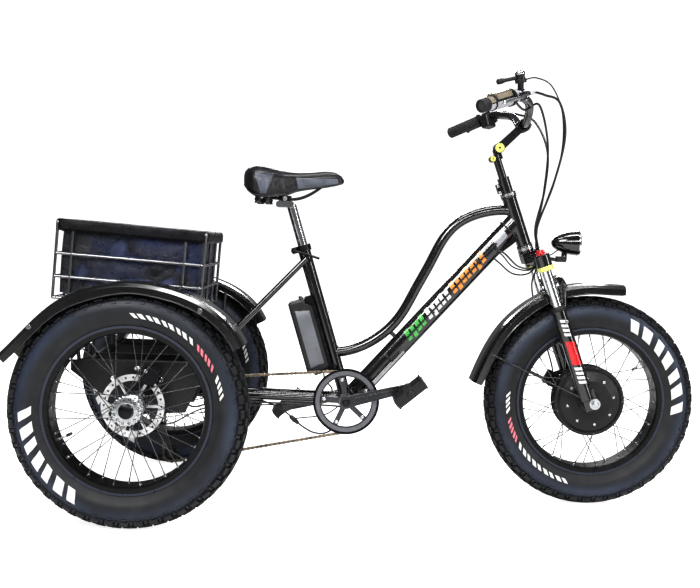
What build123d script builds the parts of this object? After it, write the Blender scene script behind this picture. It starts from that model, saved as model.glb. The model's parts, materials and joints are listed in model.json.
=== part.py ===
from build123d import *
from math import asin, atan2, cos, pi, radians, sin, sqrt
import os

os.makedirs("parts", exist_ok=True)

# Adult fat-tyre electric tricycle. +X is forward, +Y is the rider's left, +Z is up, millimetres.
# Layout points are measured from the ground below the rear axle, on the centre plane.
# ORIGIN_X moves the finished parts so that the row's origin is the bottom centre of the bounding box.

# ---------------------------------------------------------------- driving dimensions
WHEEL_RADIUS = 297.0          # 20 x 4.0 tyre
WHEELBASE = 1230.0
HALF_TRACK = 368.0            # centre plane to a rear wheel's centre plane
HEAD_ANGLE = 70.0
SEAT_ANGLE = 72.5
CRANK_LENGTH = 175.0
CRANK_ANGLE = 14.7            # right crank above the horizontal, pointing forward
PEDAL_TILT = 40.0
CHAIN_PITCH = 12.7
CHAINRING_TEETH = 42
COG_TEETH = (14, 16, 18, 20, 22, 24, 28)
PULLEY_TEETH = 11
RUNNING = 0.05                # radial clearance of every running fit
FIT = 0.02                    # radial clearance of parts bolted or pressed together

BB = Vector(540, 0, 282)                      # bottom bracket
HEAD_MID = Vector(1007, 0, 797.5)             # middle of the head tube, on the steering axis
FRONT_AXLE = Vector(WHEELBASE, 0, WHEEL_RADIUS)
REAR_AXLE_Z = WHEEL_RADIUS

UP = Vector(-cos(radians(HEAD_ANGLE)), 0, sin(radians(HEAD_ANGLE)))
AHEAD = Vector(sin(radians(HEAD_ANGLE)), 0, cos(radians(HEAD_ANGLE)))
SEAT_UP = Vector(-cos(radians(SEAT_ANGLE)), 0, sin(radians(SEAT_ANGLE)))
BEHIND = Vector(-sin(radians(SEAT_ANGLE)), 0, -cos(radians(SEAT_ANGLE)))

# tyre and rim sections, as radius and half width about the wheel's own axis
TYRE_HALF_WIDTH = 49.0
TYRE_CENTRE_RADIUS = 247.0
TYRE_WALL = 4.0
TREAD_FLATS = 48
TREAD_HALF_WIDTH = 30.0
RIM_OUTER_RADIUS = 209.0
RIM_INNER_RADIUS = 189.0
SPOKES = 36
SPOKE_RADIUS = 1.1
ROTOR_RADIUS = 80.0
ROTOR_OFFSET = 42.0           # rear rotor plane, inboard of the wheel's centre plane
FRONT_ROTOR_Y = 48.0

AXLE_RADIUS = 8.5
AXLE_HALF_LENGTH = 410.0
INNER_PLATE_Y = 105.0
OUTER_PLATE_Y = 270.0
BEARING_RADIUS = 20.0
LOWER_CROSS = (105.0, 290.0)
UPPER_CROSS_X = 150.0
UPPER_CROSS_Z = 389.0
CROSS_RADIUS = 12.5

HEAD_TUBE_HALF = 73.0
HEAD_TUBE_RADIUS = 20.0
STEERER_RADIUS = 14.3
CUP_HEIGHT = 12.0
LEG_Y = 80.0                  # fork legs, each side of the centre plane
LEG_AHEAD = 22.0              # fork legs, ahead of the steering axis
STANCHION_RADIUS = 14.0
LOWER_RADIUS = 20.0
LOWER_TOP = -262.0            # along the steering axis
ARCH_TOP = -190.0
ARCH_AHEAD = 60.0
ARCH_CLEARANCE = 1.5          # round the inner legs, where the arch passes them
CROWN_LOW = -146.0
CROWN_HIGH = -108.0
HUB_AXLE_RADIUS = 6.0
HUB_AXLE_HALF = 97.0
MOTOR_RADIUS = 91.5
MOTOR_HALF_WIDTH = 42.0

SEAT_TUBE_RADIUS = 17.45
SEATPOST_RADIUS = 13.6
SEAT_TUBE_LENGTH = 448.0
BB_HALF_WIDTH = 50.0
BB_BORE = 17.4
SPINDLE_RADIUS = 8.5
STAY_Y = 38.0
STAY_RADIUS = 11.0

CHAIN_Y = -66.0
COG_STEP = 5.0
GUIDE_PULLEY = (18.0, 233.0)
TENSION_PULLEY = (59.0, 122.0)
ROLLER_RADIUS = 3.97
LINK_HALF_HEIGHT = 4.0
CRANK_INNER_Y = 74.0
CRANK_OUTER_Y = 88.0
PEDAL_Y = 150.0
PEDAL_HALF_WIDTH = 47.0

STEM_PIVOT = Vector(948, 0, 1001)
RISER_RADIUS = 11.5
STEM_HALF_HEIGHT = 10.5
BAR_CLAMP_RADIUS = 18.5
BAR_CLAMP = Vector(1014, 0, 1066)
BAR_RADIUS = 11.1
GRIP_ROOT = Vector(930, -238, 1108)           # right side; the left mirrors it
GRIP_END = Vector(848, -317, 1074)
LIGHT_CENTRE = Vector(1150, 0, 741)
LIGHT_RADIUS = 34.0
LIGHT_PIVOT = Vector(1146, 0, 700)

BASKET_CENTRE = Vector(-40, 0, 742)           # middle of the top rail
BASKET_TILT = 3.4                             # front edge lower
BASKET_HALF = (195.0, 176.0)
BASKET_RAILS = (-12.0, -82.0, -143.0, -200.0)
BASKET_DEPTH = 200.0
WIRE = 4.0

BATTERY_SPAN = (100.0, 305.0)                 # along the seat tube from the bottom bracket
BATTERY_DEPTH = (35.2, 84.0)                  # behind the seat tube's axis
BATTERY_WIDTH = 82.0

FENDER_HALF_WIDTH = 60.0
FENDER_DROP = 28.0
FENDER_SHEET = 2.5
REAR_FENDER_ARC = (                           # (angle from forward, radius) about the wheel's axle
    (157, 338), (150, 325), (123, 317), (94, 316), (72, 319), (55, 328), (42, 333), (31, 331),
)
FRONT_FENDER_ARC = (
    (76, 341), (82, 335), (95, 333), (110, 333), (125, 331), (141, 330), (156, 330), (172, 341),
)
FRONT_FENDER_HALF_WIDTH = 53.0
REAR_REACH = 311.1            # the fenders' tails, behind the rear axle
ORIGIN_X = (WHEELBASE + WHEEL_RADIUS - REAR_REACH) / 2

BASE = (Align.CENTER, Align.CENTER, Align.MIN)


# ---------------------------------------------------------------- helpers
def steer(along, ahead=0.0, side=0.0):
    """A point by its distance along the steering axis, ahead of it and to the left of it."""
    return HEAD_MID + UP * along + AHEAD * ahead + Vector(0, side, 0)


def steer_box(along, ahead, side, size):
    """A box centred at a steering-axis place; size is ahead, across and along."""
    return Plane(origin=steer(along, ahead, side), x_dir=AHEAD, z_dir=UP) * Box(*size)


def seat(along, behind=0.0, side=0.0):
    """A point by its distance up the seat tube from the bottom bracket and behind its axis."""
    return BB + SEAT_UP * along + BEHIND * behind + Vector(0, side, 0)


def seat_box(along, behind, size):
    """A box centred at a seat-tube place; size is behind, across and along."""
    return Plane(origin=seat(along, behind), x_dir=BEHIND, z_dir=SEAT_UP) * Box(*size)


def rod(start, end, radius):
    """A round bar between two points."""
    axis = Vector(end) - Vector(start)
    return Plane(origin=start, z_dir=axis) * Cylinder(radius, axis.length, align=BASE)


def pipe(start, end, outer, inner):
    """A round tube between two points, open at both ends."""
    return rod(start, end, outer) - rod(start, end, inner)


def cross_rod(x, z, y_from, y_to, radius):
    """A round bar along Y."""
    return rod((x, y_from, z), (x, y_to, z), radius)


def bent_rod(points, radius):
    """A round bar swept along a smooth curve."""
    path = Spline(*points)
    return sweep(Plane(origin=path @ 0, z_dir=path % 0) * Circle(radius), path=path)


def plate(points, y, thickness):
    """A flat plate in an XZ outline, centred on the plane y."""
    outline = Plane.XZ * Polygon(*points, align=None)
    return Pos(0, y, 0) * extrude(outline, thickness / 2, both=True)


def disc(sketch, centre, y, thickness):
    """A flat sketch stood up in the XZ plane about a centre and thickened along Y."""
    upright = Plane.XZ * sketch
    return Pos(centre[0], y, centre[1]) * extrude(upright, thickness / 2, both=True)


def turned(points, x, y, z):
    """A turned part: radius and axial points, revolved about an axis along Y through x, y, z."""
    return Pos(x, y, z) * revolve(Polygon(*points, align=None), axis=Axis.Y)


def joined(shapes):
    """One solid, or several, from overlapping shapes."""
    first, *rest = shapes
    return first.fuse(*rest)


def group(shapes):
    """Separate solids kept in one node."""
    return Compound(children=[solid for shape in shapes for solid in shape.solids()])


def mirrored(shape):
    """The same shape on the other side of the centre plane."""
    return mirror(shape, about=Plane.XZ)


def polar(radius, angle_deg, centre, y=0.0):
    """A point on a circle in an XZ plane."""
    angle = radians(angle_deg)
    return Vector(centre[0] + radius * cos(angle), y, centre[1] + radius * sin(angle))


def pitch_radius(teeth):
    """Pitch radius of a roller-chain sprocket."""
    return CHAIN_PITCH / (2 * sin(pi / teeth))


# ---------------------------------------------------------------- wheels
def tyre(x, y):
    """A fat tyre with a flat for each row of tread blocks, so that it stands on a real flat."""
    outer = Ellipse(WHEEL_RADIUS - 0.5 - TYRE_CENTRE_RADIUS, TYRE_HALF_WIDTH)
    inner = Ellipse(WHEEL_RADIUS - 0.5 - TYRE_WALL - TYRE_CENTRE_RADIUS, TYRE_HALF_WIDTH - TYRE_WALL)
    above_rim = Pos(RIM_OUTER_RADIUS + 51, 0) * Rectangle(100, 120)
    wall = (Pos(TYRE_CENTRE_RADIUS, 0) * (outer - inner)) & above_rim
    beads = [Pos(207, side * 31) * Rectangle(16, 5) for side in (-1, 1)]
    carcass = revolve(joined([wall, *beads]), axis=Axis.Y)
    flats = RegularPolygon(WHEEL_RADIUS, TREAD_FLATS, major_radius=False, rotation=180 / TREAD_FLATS)
    tread = extrude(Plane.XZ * (flats - Circle(WHEEL_RADIUS - 10)), TREAD_HALF_WIDTH, both=True)
    return Pos(x, y, WHEEL_RADIUS) * carcass.fuse(tread)


def rim(x, y):
    """An 80 mm wide rolled rim with two bead flanges."""
    half = [(209, 40), (192, 38), (189, 30)]
    inside = [(193, 28), (195, 34), (209, 37)]
    other = [(r, -w) for r, w in reversed(half)]
    other_inside = [(r, -w) for r, w in reversed(inside)]
    return turned(half + other + other_inside + inside, x, y, WHEEL_RADIUS)


def spokes(x, flange_radius, flange_ys, rim_ys):
    """Spokes from two hub flanges to the rim, alternating sides."""
    bars = []
    for i in range(SPOKES):
        angle = (i + 0.5) * 360 / SPOKES
        near = polar(flange_radius - 3, angle, (x, WHEEL_RADIUS), flange_ys[i % 2])
        far = polar(RIM_INNER_RADIUS + 2, angle, (x, WHEEL_RADIUS), rim_ys[i % 2])
        bars.append(rod(near, far, SPOKE_RADIUS))
    return group(bars)


def rotor(x, y):
    """A vented brake disc on six curved-looking arms."""
    band = Circle(ROTOR_RADIUS) - Circle(ROTOR_RADIUS - 16)
    carrier = Circle(31) - Circle(22)
    arms = PolarLocations(47, 6) * Rectangle(40, 7)
    vents = PolarLocations(ROTOR_RADIUS - 8, 24) * Circle(3)
    return disc(band + carrier + arms - vents, (x, WHEEL_RADIUS), y, 2)


def rear_hub(side, bore):
    """A rear hub with a polished outer flange and the rotor seat on its inboard end."""
    profile = [
        (bore, 321), (21.9, 321), (21.9, 335), (30, 335), (30, 340), (19, 344),
        (19, 398), (34.5, 401), (34.5, 406), (22, 408), (bore, 408),
    ]
    hub = turned(profile, 0, 0, REAR_AXLE_Z)
    return hub if side > 0 else mirrored(hub)


def rear_axle():
    """The live axle across both wheels, with an end cap at each side."""
    profile = [
        (0, -AXLE_HALF_LENGTH - 9), (13, -AXLE_HALF_LENGTH - 9), (15, -AXLE_HALF_LENGTH - 7),
        (15, -AXLE_HALF_LENGTH), (AXLE_RADIUS, -AXLE_HALF_LENGTH), (AXLE_RADIUS, AXLE_HALF_LENGTH),
        (15, AXLE_HALF_LENGTH), (15, AXLE_HALF_LENGTH + 7),
        (13, AXLE_HALF_LENGTH + 9), (0, AXLE_HALF_LENGTH + 9),
    ]
    return turned(profile, 0, 0, REAR_AXLE_Z)


def rear_wheel_parts(side):
    """The five pieces of one rear wheel, by short name."""
    y = side * HALF_TRACK
    bore = AXLE_RADIUS + (RUNNING if side > 0 else FIT)
    return {
        "hub": rear_hub(side, bore),
        "spokes": spokes(0, 30, (side * 403.5, side * 337.5), (y + side * 12, y - side * 12)),
        "rim": rim(0, y),
        "tyre": tyre(0, y),
        "rotor": rotor(0, side * (HALF_TRACK - ROTOR_OFFSET)),
    }


def hub_motor():
    """The front hub motor's turning shell, with scalloped spoke flanges."""
    bore = HUB_AXLE_RADIUS + RUNNING
    profile = [
        (bore, -MOTOR_HALF_WIDTH), (58, -MOTOR_HALF_WIDTH), (84, -33), (MOTOR_RADIUS, -26),
        (MOTOR_RADIUS, 26), (84, 33), (58, 42), (21.9, 42),
        (21.9, FRONT_ROTOR_Y + 1), (bore, FRONT_ROTOR_Y + 1),
    ]
    shell = turned(profile, WHEELBASE, 0, WHEEL_RADIUS)
    scallop = Circle(MOTOR_RADIUS + 4) - Circle(MOTOR_RADIUS - 3)
    scallop -= PolarLocations(MOTOR_RADIUS + 6, SPOKES // 2) * Circle(5)
    flanges = [disc(scallop, (WHEELBASE, WHEEL_RADIUS), side * 24, 3) for side in (-1, 1)]
    return joined([shell, *flanges])


def front_axle():
    """The fixed motor axle with its nuts and washers."""
    x, z = WHEELBASE, WHEEL_RADIUS
    shaft = cross_rod(x, z, -HUB_AXLE_HALF, HUB_AXLE_HALF, HUB_AXLE_RADIUS)
    nuts = []
    for side in (-1, 1):
        nut = extrude(Plane.XZ * RegularPolygon(9.5, 6), 4, both=True)
        nuts.append(Pos(x, side * 92, z) * nut)
    return joined([shaft, *nuts])


# ---------------------------------------------------------------- frame
TOP_TUBE = (
    (996, 0, 827), (950, 0, 827), (909, 0, 819), (838, 0, 784), (800, 0, 739), (768, 0, 675),
    (727, 0, 595), (690, 0, 525), (653, 0, 480), (606, 0, 444), (557, 0, 421), (502, 0, 411),
)
DOWN_TUBE = (Vector(556, 0, 286), Vector(1003, 0, 794))


def oval_tube(half_width, half_height):
    """The down tube: an upright oval between the bottom bracket and the head tube."""
    axis = DOWN_TUBE[1] - DOWN_TUBE[0]
    base = Plane(origin=DOWN_TUBE[0], x_dir=(0, 1, 0), z_dir=axis)
    return extrude(base * Ellipse(half_width, half_height), axis.length)


def frame_tubes(shrink):
    """Every main tube, thinner by shrink; the same set is taken out again to hollow the frame."""
    tubes = [
        oval_tube(20 - shrink, 29 - shrink),
        bent_rod(TOP_TUBE, 14.3 - shrink),
        rod(seat(0), seat(SEAT_TUBE_LENGTH - shrink * 30), SEAT_TUBE_RADIUS - shrink),
    ]
    for side in (-1, 1):
        start = Vector(BB.X, side * STAY_Y, BB.Z)
        tubes.append(rod(start, (LOWER_CROSS[0], side * STAY_Y, LOWER_CROSS[1]), STAY_RADIUS - shrink))
        stay_top = Vector(417, side * 12, 674)
        tubes.append(rod(stay_top, (UPPER_CROSS_X, side * 45, UPPER_CROSS_Z), 8.5 - shrink))
    return joined(tubes)


def main_frame():
    """Head tube, down tube, S-bent top tube, seat tube, bracket shell and both pairs of stays."""
    shell = cross_rod(BB.X, BB.Z, -BB_HALF_WIDTH, BB_HALF_WIDTH, 21)
    head = rod(steer(-HEAD_TUBE_HALF), steer(HEAD_TUBE_HALF), HEAD_TUBE_RADIUS)
    gusset_outline = [(964, 706), (1000, 735), (1018, 752), (1006, 792), (930, 728)]
    gusset = plate(gusset_outline, 0, 22)
    bridge = rod((655, 0, 478), (690, 0, 448), 6)
    solid = joined([frame_tubes(0), shell, head, gusset, bridge])
    hollow = frame_tubes(1.6)
    bores = [
        rod(steer(-HEAD_TUBE_HALF), steer(HEAD_TUBE_HALF), STEERER_RADIUS + 1),
        cross_rod(BB.X, BB.Z, -BB_HALF_WIDTH, BB_HALF_WIDTH, BB_BORE),
        rod(seat(60), seat(SEAT_TUBE_LENGTH + 1), SEATPOST_RADIUS + RUNNING),
    ]
    frame = solid - hollow
    for bore in bores:
        frame -= bore
    return frame - joined(cross_tubes())


def cross_tubes():
    """The three transverse tubes of the rear subframe."""
    reach = OUTER_PLATE_Y + 3
    return [
        cross_rod(LOWER_CROSS[0], LOWER_CROSS[1], -reach, reach, CROSS_RADIUS),
        cross_rod(UPPER_CROSS_X, UPPER_CROSS_Z, -reach, reach, CROSS_RADIUS),
        cross_rod(-UPPER_CROSS_X, UPPER_CROSS_Z, -reach, reach, CROSS_RADIUS),
    ]


def rear_subframe():
    """Cross tubes and four axle plates, with posts for the basket and stays for the fenders."""
    outline = [(-170, 403), (170, 403), (170, 376), (124, 274), (26, 268), (-26, 268), (-170, 376)]
    plates = [plate(outline, side * y, 6) for side in (-1, 1) for y in (INNER_PLATE_Y, OUTER_PLATE_Y)]
    posts = []
    for x in (-UPPER_CROSS_X, UPPER_CROSS_X - 20):
        for y in (-140, 140):
            posts.append(rod((x, y, UPPER_CROSS_Z), (x, y, 545), 8))
        posts.append(cross_rod(x, 520, -140, 140, 7))
    for side in (-1, 1):
        for x, angle in ((UPPER_CROSS_X, 58), (-UPPER_CROSS_X, 122)):
            foot = Vector(x, side * (OUTER_PLATE_Y - 8), UPPER_CROSS_Z)
            tip = polar(302, angle, (0, REAR_AXLE_Z), side * (HALF_TRACK - FENDER_HALF_WIDTH - 3))
            posts.append(rod(foot, tip, 5))
    struts = []
    for side in (-1, 1):
        front = Vector(UPPER_CROSS_X, side * 200, UPPER_CROSS_Z)
        struts.append(rod(front, Vector(-UPPER_CROSS_X, side * 200, UPPER_CROSS_Z), 9))
    body = joined([*cross_tubes(), *plates, *posts, *struts])
    reach = OUTER_PLATE_Y + 10
    body -= cross_rod(0, REAR_AXLE_Z, -reach, reach, BEARING_RADIUS)
    body -= in_basket(Pos(0, 0, -BASKET_DEPTH - 4 + 100) * Box(500, 500, 200))
    for side in (-1, 1):
        body -= rear_fender(side)
    return body


def frame_bearings():
    """Headset cups, bottom-bracket cups and axle bearings: the rings pressed into the frame."""
    rings = []
    for side in (-1, 1):
        low = steer(side * HEAD_TUBE_HALF)
        high = steer(side * (HEAD_TUBE_HALF + CUP_HEIGHT))
        rings.append(pipe(low, high, HEAD_TUBE_RADIUS + 2, STEERER_RADIUS + RUNNING))
        cup = [
            (SPINDLE_RADIUS + RUNNING, 38), (BB_BORE - FIT, 38), (BB_BORE - FIT, BB_HALF_WIDTH + FIT),
            (20, BB_HALF_WIDTH + FIT), (20, BB_HALF_WIDTH + 4), (SPINDLE_RADIUS + RUNNING, BB_HALF_WIDTH + 4),
        ]
        ring = turned([(r, side * y) for r, y in cup], BB.X, 0, BB.Z)
        rings.append(ring)
        for y in (INNER_PLATE_Y, OUTER_PLATE_Y):
            outer = BEARING_RADIUS - FIT
            inner = AXLE_RADIUS + RUNNING
            centre = (0, REAR_AXLE_Z)
            ring = disc(Circle(outer) - Circle(inner), centre, side * y, 12)
            rings.append(ring)
    return group(rings)


def seat_collar():
    """The split clamp collar at the top of the seat tube, with two ears at the back."""
    top = SEAT_TUBE_LENGTH
    ring = rod(seat(top - 16), seat(top + 2), SEAT_TUBE_RADIUS + 4)
    ears = seat_box(top - 7, SEAT_TUBE_RADIUS + 8, (16, 22, 18))
    collar = joined([ring, ears])
    collar -= rod(seat(top - 20), seat(top), SEAT_TUBE_RADIUS + FIT)
    collar -= rod(seat(top - 1), seat(top + 4), SEATPOST_RADIUS + RUNNING)
    collar -= seat_box(top - 7, SEAT_TUBE_RADIUS + 8, (30, 3, 40))
    return collar - qr_skewer(RUNNING)


def qr_skewer(extra=0.0):
    """The cross pin of the quick release, through the collar's ears."""
    place = seat(SEAT_TUBE_LENGTH - 7, SEAT_TUBE_RADIUS + 10)
    return cross_rod(place.X, place.Z, -20, 18, 3 + extra)


def seat_lever():
    """The quick-release lever: pin, barrel and a curved handle lying forward along the collar."""
    place = seat(SEAT_TUBE_LENGTH - 7, SEAT_TUBE_RADIUS + 10)
    barrel = cross_rod(place.X, place.Z, -22, -12, 8)
    nut = cross_rod(place.X, place.Z, 12, 18, 7)
    handle = bent_rod([
        (place.X, -20, place.Z), (place.X + 20, -25, place.Z - 4), (place.X + 45, -27, place.Z - 11),
        (place.X + 72, -24, place.Z - 19),
    ], 3.6)
    return joined([qr_skewer(), barrel, nut, handle])


def fender_section(half_width):
    """A thin arch: skirts down both sides and a crowned top; x is radial, y is across."""
    w, t = half_width, FENDER_SHEET
    outer = [(-FENDER_DROP, w), (-11, w), (-3, w - 9), (0, w - 24), (0, 0)]
    inner = [(-t, 0), (-t, w - 24), (-3 - t, w - 10), (-12, w - t), (-FENDER_DROP, w - t)]
    right_outer = [(x, -y) for x, y in reversed(outer[:-1])]
    right_inner = [(x, -y) for x, y in reversed(inner[1:])]
    return Polygon(*outer, *right_outer, *right_inner, *inner, align=None)


def fender(arc, half_width, centre, y):
    """A fender swept along a polar curve of angle and crown radius."""
    path = Spline(*[polar(radius, angle, (0, 0)) for angle, radius in arc])
    start, along = path @ 0, path % 0
    section = Plane(origin=start, x_dir=Vector(0, 1, 0).cross(along) * -1, z_dir=along)
    if (section.x_dir.dot(start)) < 0:
        section = Plane(origin=start, x_dir=section.x_dir * -1, z_dir=along)
    return Pos(centre[0], y, centre[1]) * sweep(section * fender_section(half_width), path=path)


def rear_fender(side):
    return fender(REAR_FENDER_ARC, FENDER_HALF_WIDTH, (0, REAR_AXLE_Z), side * HALF_TRACK)


def fender_bolts():
    """Round bolt heads on the outer skirts of the rear fenders and on the axle plates."""
    bolts = []
    for side in (-1, 1):
        skirt = side * (HALF_TRACK + FENDER_HALF_WIDTH)
        for angle in (55, 139):
            place = polar(307, angle, (0, REAR_AXLE_Z))
            bolts.append(cross_rod(place.X, place.Z, skirt, skirt + side * 4, 6))
        face = side * (OUTER_PLATE_Y + 3)
        for x, z in ((60, 358), (-60, 358), (0, 385)):
            bolts.append(cross_rod(x, z, face, face + side * 5, 7))
    return group(bolts)


# ---------------------------------------------------------------- basket
def in_basket(shape):
    """Moves a shape from the basket's own frame, whose origin is the middle of the top rail."""
    return Pos(*BASKET_CENTRE) * Rot(0, BASKET_TILT, 0) * shape


def basket_loop(z, radius):
    """A rectangular wire loop at one height."""
    half_x, half_y = BASKET_HALF
    corners = [(-half_x, -half_y, z), (half_x, -half_y, z), (half_x, half_y, z), (-half_x, half_y, z)]
    bars = [rod(corners[i], corners[(i + 1) % 4], radius) for i in range(4)]
    balls = [Pos(*corner) * Sphere(radius) for corner in corners]
    return bars + balls


def cargo_basket():
    """A wire basket: top rail, three lower loops, uprights on each side and a floor grid."""
    half_x, half_y = BASKET_HALF
    wires = basket_loop(0, WIRE + 1)
    for z in BASKET_RAILS[1:]:
        wires += basket_loop(z, WIRE)
    for x in (-half_x, -154, 143, half_x):
        for y in (-half_y, half_y):
            wires.append(rod((x, y, 0), (x, y, -BASKET_DEPTH), WIRE))
    for x in (-half_x, half_x):
        for y in (-60, 60):
            wires.append(rod((x, y, 0), (x, y, -BASKET_DEPTH), WIRE))
    for y in (-120, -60, 0, 60, 120):
        wires.append(rod((-half_x, y, -BASKET_DEPTH), (half_x, y, -BASKET_DEPTH), WIRE - 1))
    for x in (-130, -65, 0, 65, 130):
        wires.append(rod((x, -half_y, -BASKET_DEPTH), (x, half_y, -BASKET_DEPTH), WIRE - 1))
    return in_basket(joined(wires))


def basket_bag():
    """The open-topped fabric liner inside the basket."""
    outer = Box(376, 338, 190, align=(Align.CENTER, Align.CENTER, Align.MAX))
    inner = Box(368, 330, 190, align=(Align.CENTER, Align.CENTER, Align.MAX))
    return in_basket(Pos(0, 0, -3) * outer - Pos(0, 0, 1) * inner)


# ---------------------------------------------------------------- battery
def battery_case():
    """The battery box on the back of the seat tube."""
    low, high = BATTERY_SPAN
    near, far = BATTERY_DEPTH
    case = seat_box((low + high) / 2, (near + far) / 2, (far - near, BATTERY_WIDTH, high - low))
    return fillet(case.edges(), 7)


def battery_mount():
    """The slide rail between the seat tube and the battery, with a foot below it."""
    low, high = BATTERY_SPAN
    rail = seat_box((low + high) / 2, 24, (22, 34, high - low + 6))
    foot = seat_box(low - 7, 40, (54, 34, 13))
    return joined([rail, foot]) - rod(seat(0), seat(SEAT_TUBE_LENGTH), SEAT_TUBE_RADIUS + FIT)


# ---------------------------------------------------------------- drive
def sprocket(teeth, y, centre, thickness=2.0, bore=0.0):
    """A roller-chain sprocket: a disc with one roller seat per tooth."""
    pitch = pitch_radius(teeth)
    seats = PolarLocations(pitch, teeth) * Circle(ROLLER_RADIUS)
    blank = Circle(pitch + 2.2) - seats
    if bore:
        blank -= Circle(bore)
    return disc(blank, centre, y, thickness)


def freewheel():
    """Seven cogs on one core, smallest outboard, fixed to the live axle."""
    centre = (0, REAR_AXLE_Z)
    bore = AXLE_RADIUS + FIT
    cogs = [
        sprocket(teeth, CHAIN_Y + COG_STEP * i, centre, bore=bore)
        for i, teeth in enumerate(COG_TEETH)
    ]
    core = disc(Circle(22) - Circle(bore), centre, CHAIN_Y + 15, 34)
    return joined([core, *cogs])


def chainring():
    """Toothed ring, five-arm spider and the round guard on its outer side."""
    centre = (BB.X, BB.Z)
    ring = sprocket(CHAINRING_TEETH, CHAIN_Y, centre, bore=72)
    guard = disc(Circle(92) - Circle(73), centre, CHAIN_Y - 5, 2)
    spider = Circle(21) + PolarLocations(48, 5, start_angle=30) * Rectangle(62, 14)
    spider += Circle(78) - Circle(70)
    spider -= Circle(SPINDLE_RADIUS + FIT)
    web = disc(spider, centre, CHAIN_Y - 3.5, 5)
    return joined([ring, guard, web])


def pedal_axle_at(side):
    """The pedal's axis: forward and up on the right side (-1), backward and down on the left."""
    angle = CRANK_ANGLE if side < 0 else CRANK_ANGLE + 180
    return polar(CRANK_LENGTH, angle, (BB.X, BB.Z))


def crank_arm(side):
    """A tapered crank arm with the pedal's axle pin in its end; the right one carries the spindle."""
    length = CRANK_LENGTH
    taper = Polygon((0, 16), (length, 11), (length, -11), (0, -16), align=None)
    outline = Circle(17) + Pos(length, 0) * Circle(13) + taper
    angle = CRANK_ANGLE if side < 0 else CRANK_ANGLE + 180
    middle = side * (CRANK_INNER_Y + CRANK_OUTER_Y) / 2
    arm = disc(Rot(0, 0, angle) * outline, (BB.X, BB.Z), middle, CRANK_OUTER_Y - CRANK_INNER_Y)
    end = pedal_axle_at(side)
    pin = cross_rod(end.X, end.Z, side * (CRANK_OUTER_Y - 6), side * (PEDAL_Y + 44), 4.5)
    if side > 0:
        return joined([arm, pin]) - cross_rod(BB.X, BB.Z, 60, CRANK_OUTER_Y - 2, SPINDLE_RADIUS + FIT)
    spindle = cross_rod(BB.X, BB.Z, -CRANK_OUTER_Y + 2, CRANK_OUTER_Y - 2, SPINDLE_RADIUS)
    return joined([arm, pin, spindle])


def pedal(side):
    """A cage pedal: centre barrel, two end plates and two toothed-edge rails."""
    end = pedal_axle_at(side)
    width = 2 * PEDAL_HALF_WIDTH
    window = Box(28, width - 14, 40)
    body = Box(96, width, 26) - Pos(28, 0, 0) * window - Pos(-28, 0, 0) * window
    body = fillet(body.edges().filter_by(Axis.Y).group_by(Axis.X)[0], 4)
    body = fillet(body.edges().filter_by(Axis.Y).group_by(Axis.X)[-1], 4)
    placed = Pos(end.X, side * PEDAL_Y, end.Z) * Rot(0, -PEDAL_TILT, 0) * body
    inner = side * (PEDAL_Y - PEDAL_HALF_WIDTH)
    barrel = cross_rod(end.X, end.Z, inner - side * 8, side * (PEDAL_Y + PEDAL_HALF_WIDTH), 11)
    bore = cross_rod(end.X, end.Z, side * CRANK_INNER_Y, side * (PEDAL_Y + 44.1), 4.5 + RUNNING)
    return joined([placed, barrel]) - bore


def chain_loop(offset):
    """The chain's closed outline, moved inward by offset from the pitch line."""
    wheels = [
        (Vector(BB.X, BB.Z), pitch_radius(CHAINRING_TEETH), 1),
        (Vector(0, REAR_AXLE_Z), pitch_radius(COG_TEETH[0]), 1),
        (Vector(*GUIDE_PULLEY), pitch_radius(PULLEY_TEETH), -1),
        (Vector(*TENSION_PULLEY), pitch_radius(PULLEY_TEETH), 1),
    ]
    tangents = []
    for i, (centre, radius, turn) in enumerate(wheels):
        target, target_radius, target_turn = wheels[(i + 1) % len(wheels)]
        r1 = turn * (radius - turn * offset)
        r2 = target_turn * (target_radius - target_turn * offset)
        gap = target - centre
        heading = atan2(gap.Y, gap.X) - asin((r2 - r1) / gap.length)
        left = Vector(-sin(heading), cos(heading))
        tangents.append((centre - left * r1, target - left * r2, heading))
    edges = []
    for i, (centre, radius, turn) in enumerate(wheels):
        arrive = tangents[i - 1][1]
        leave = tangents[i][0]
        turned_by = (tangents[i][2] - tangents[i - 1][2]) * turn % (2 * pi) * turn
        middle_heading = tangents[i - 1][2] + turned_by / 2
        left = Vector(-sin(middle_heading), cos(middle_heading))
        middle = centre - left * turn * (radius - turn * offset)
        edges.append(ThreePointArc(arrive, middle, leave))
        edges.append(Line(leave, tangents[i][1]))
    return make_face(edges)


def chain():
    """Two rows of link plates either side of the teeth, tied by pins on the straight runs."""
    band = chain_loop(-LINK_HALF_HEIGHT) - chain_loop(LINK_HALF_HEIGHT)
    rows = [disc(band, (0, 0), CHAIN_Y + side * 2.0, 1.2) for side in (-1, 1)]
    pins = []
    for share in (0.25, 0.5, 0.75):
        upper_z = 297 + 28.5 + share * (367 - 325.5)
        lower_z = 100 + share * (197 - 100)
        pins.append(cross_rod(share * 540 - 3, upper_z, CHAIN_Y - 2.4, CHAIN_Y + 2.4, 1.8))
        pins.append(cross_rod(59 + share * 490, lower_z, CHAIN_Y - 2.4, CHAIN_Y + 2.4, 1.8))
    return joined([*rows, *pins])


def pulley(centre):
    """A jockey wheel of the derailleur."""
    return sprocket(PULLEY_TEETH, CHAIN_Y, centre, bore=3 + RUNNING)


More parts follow.
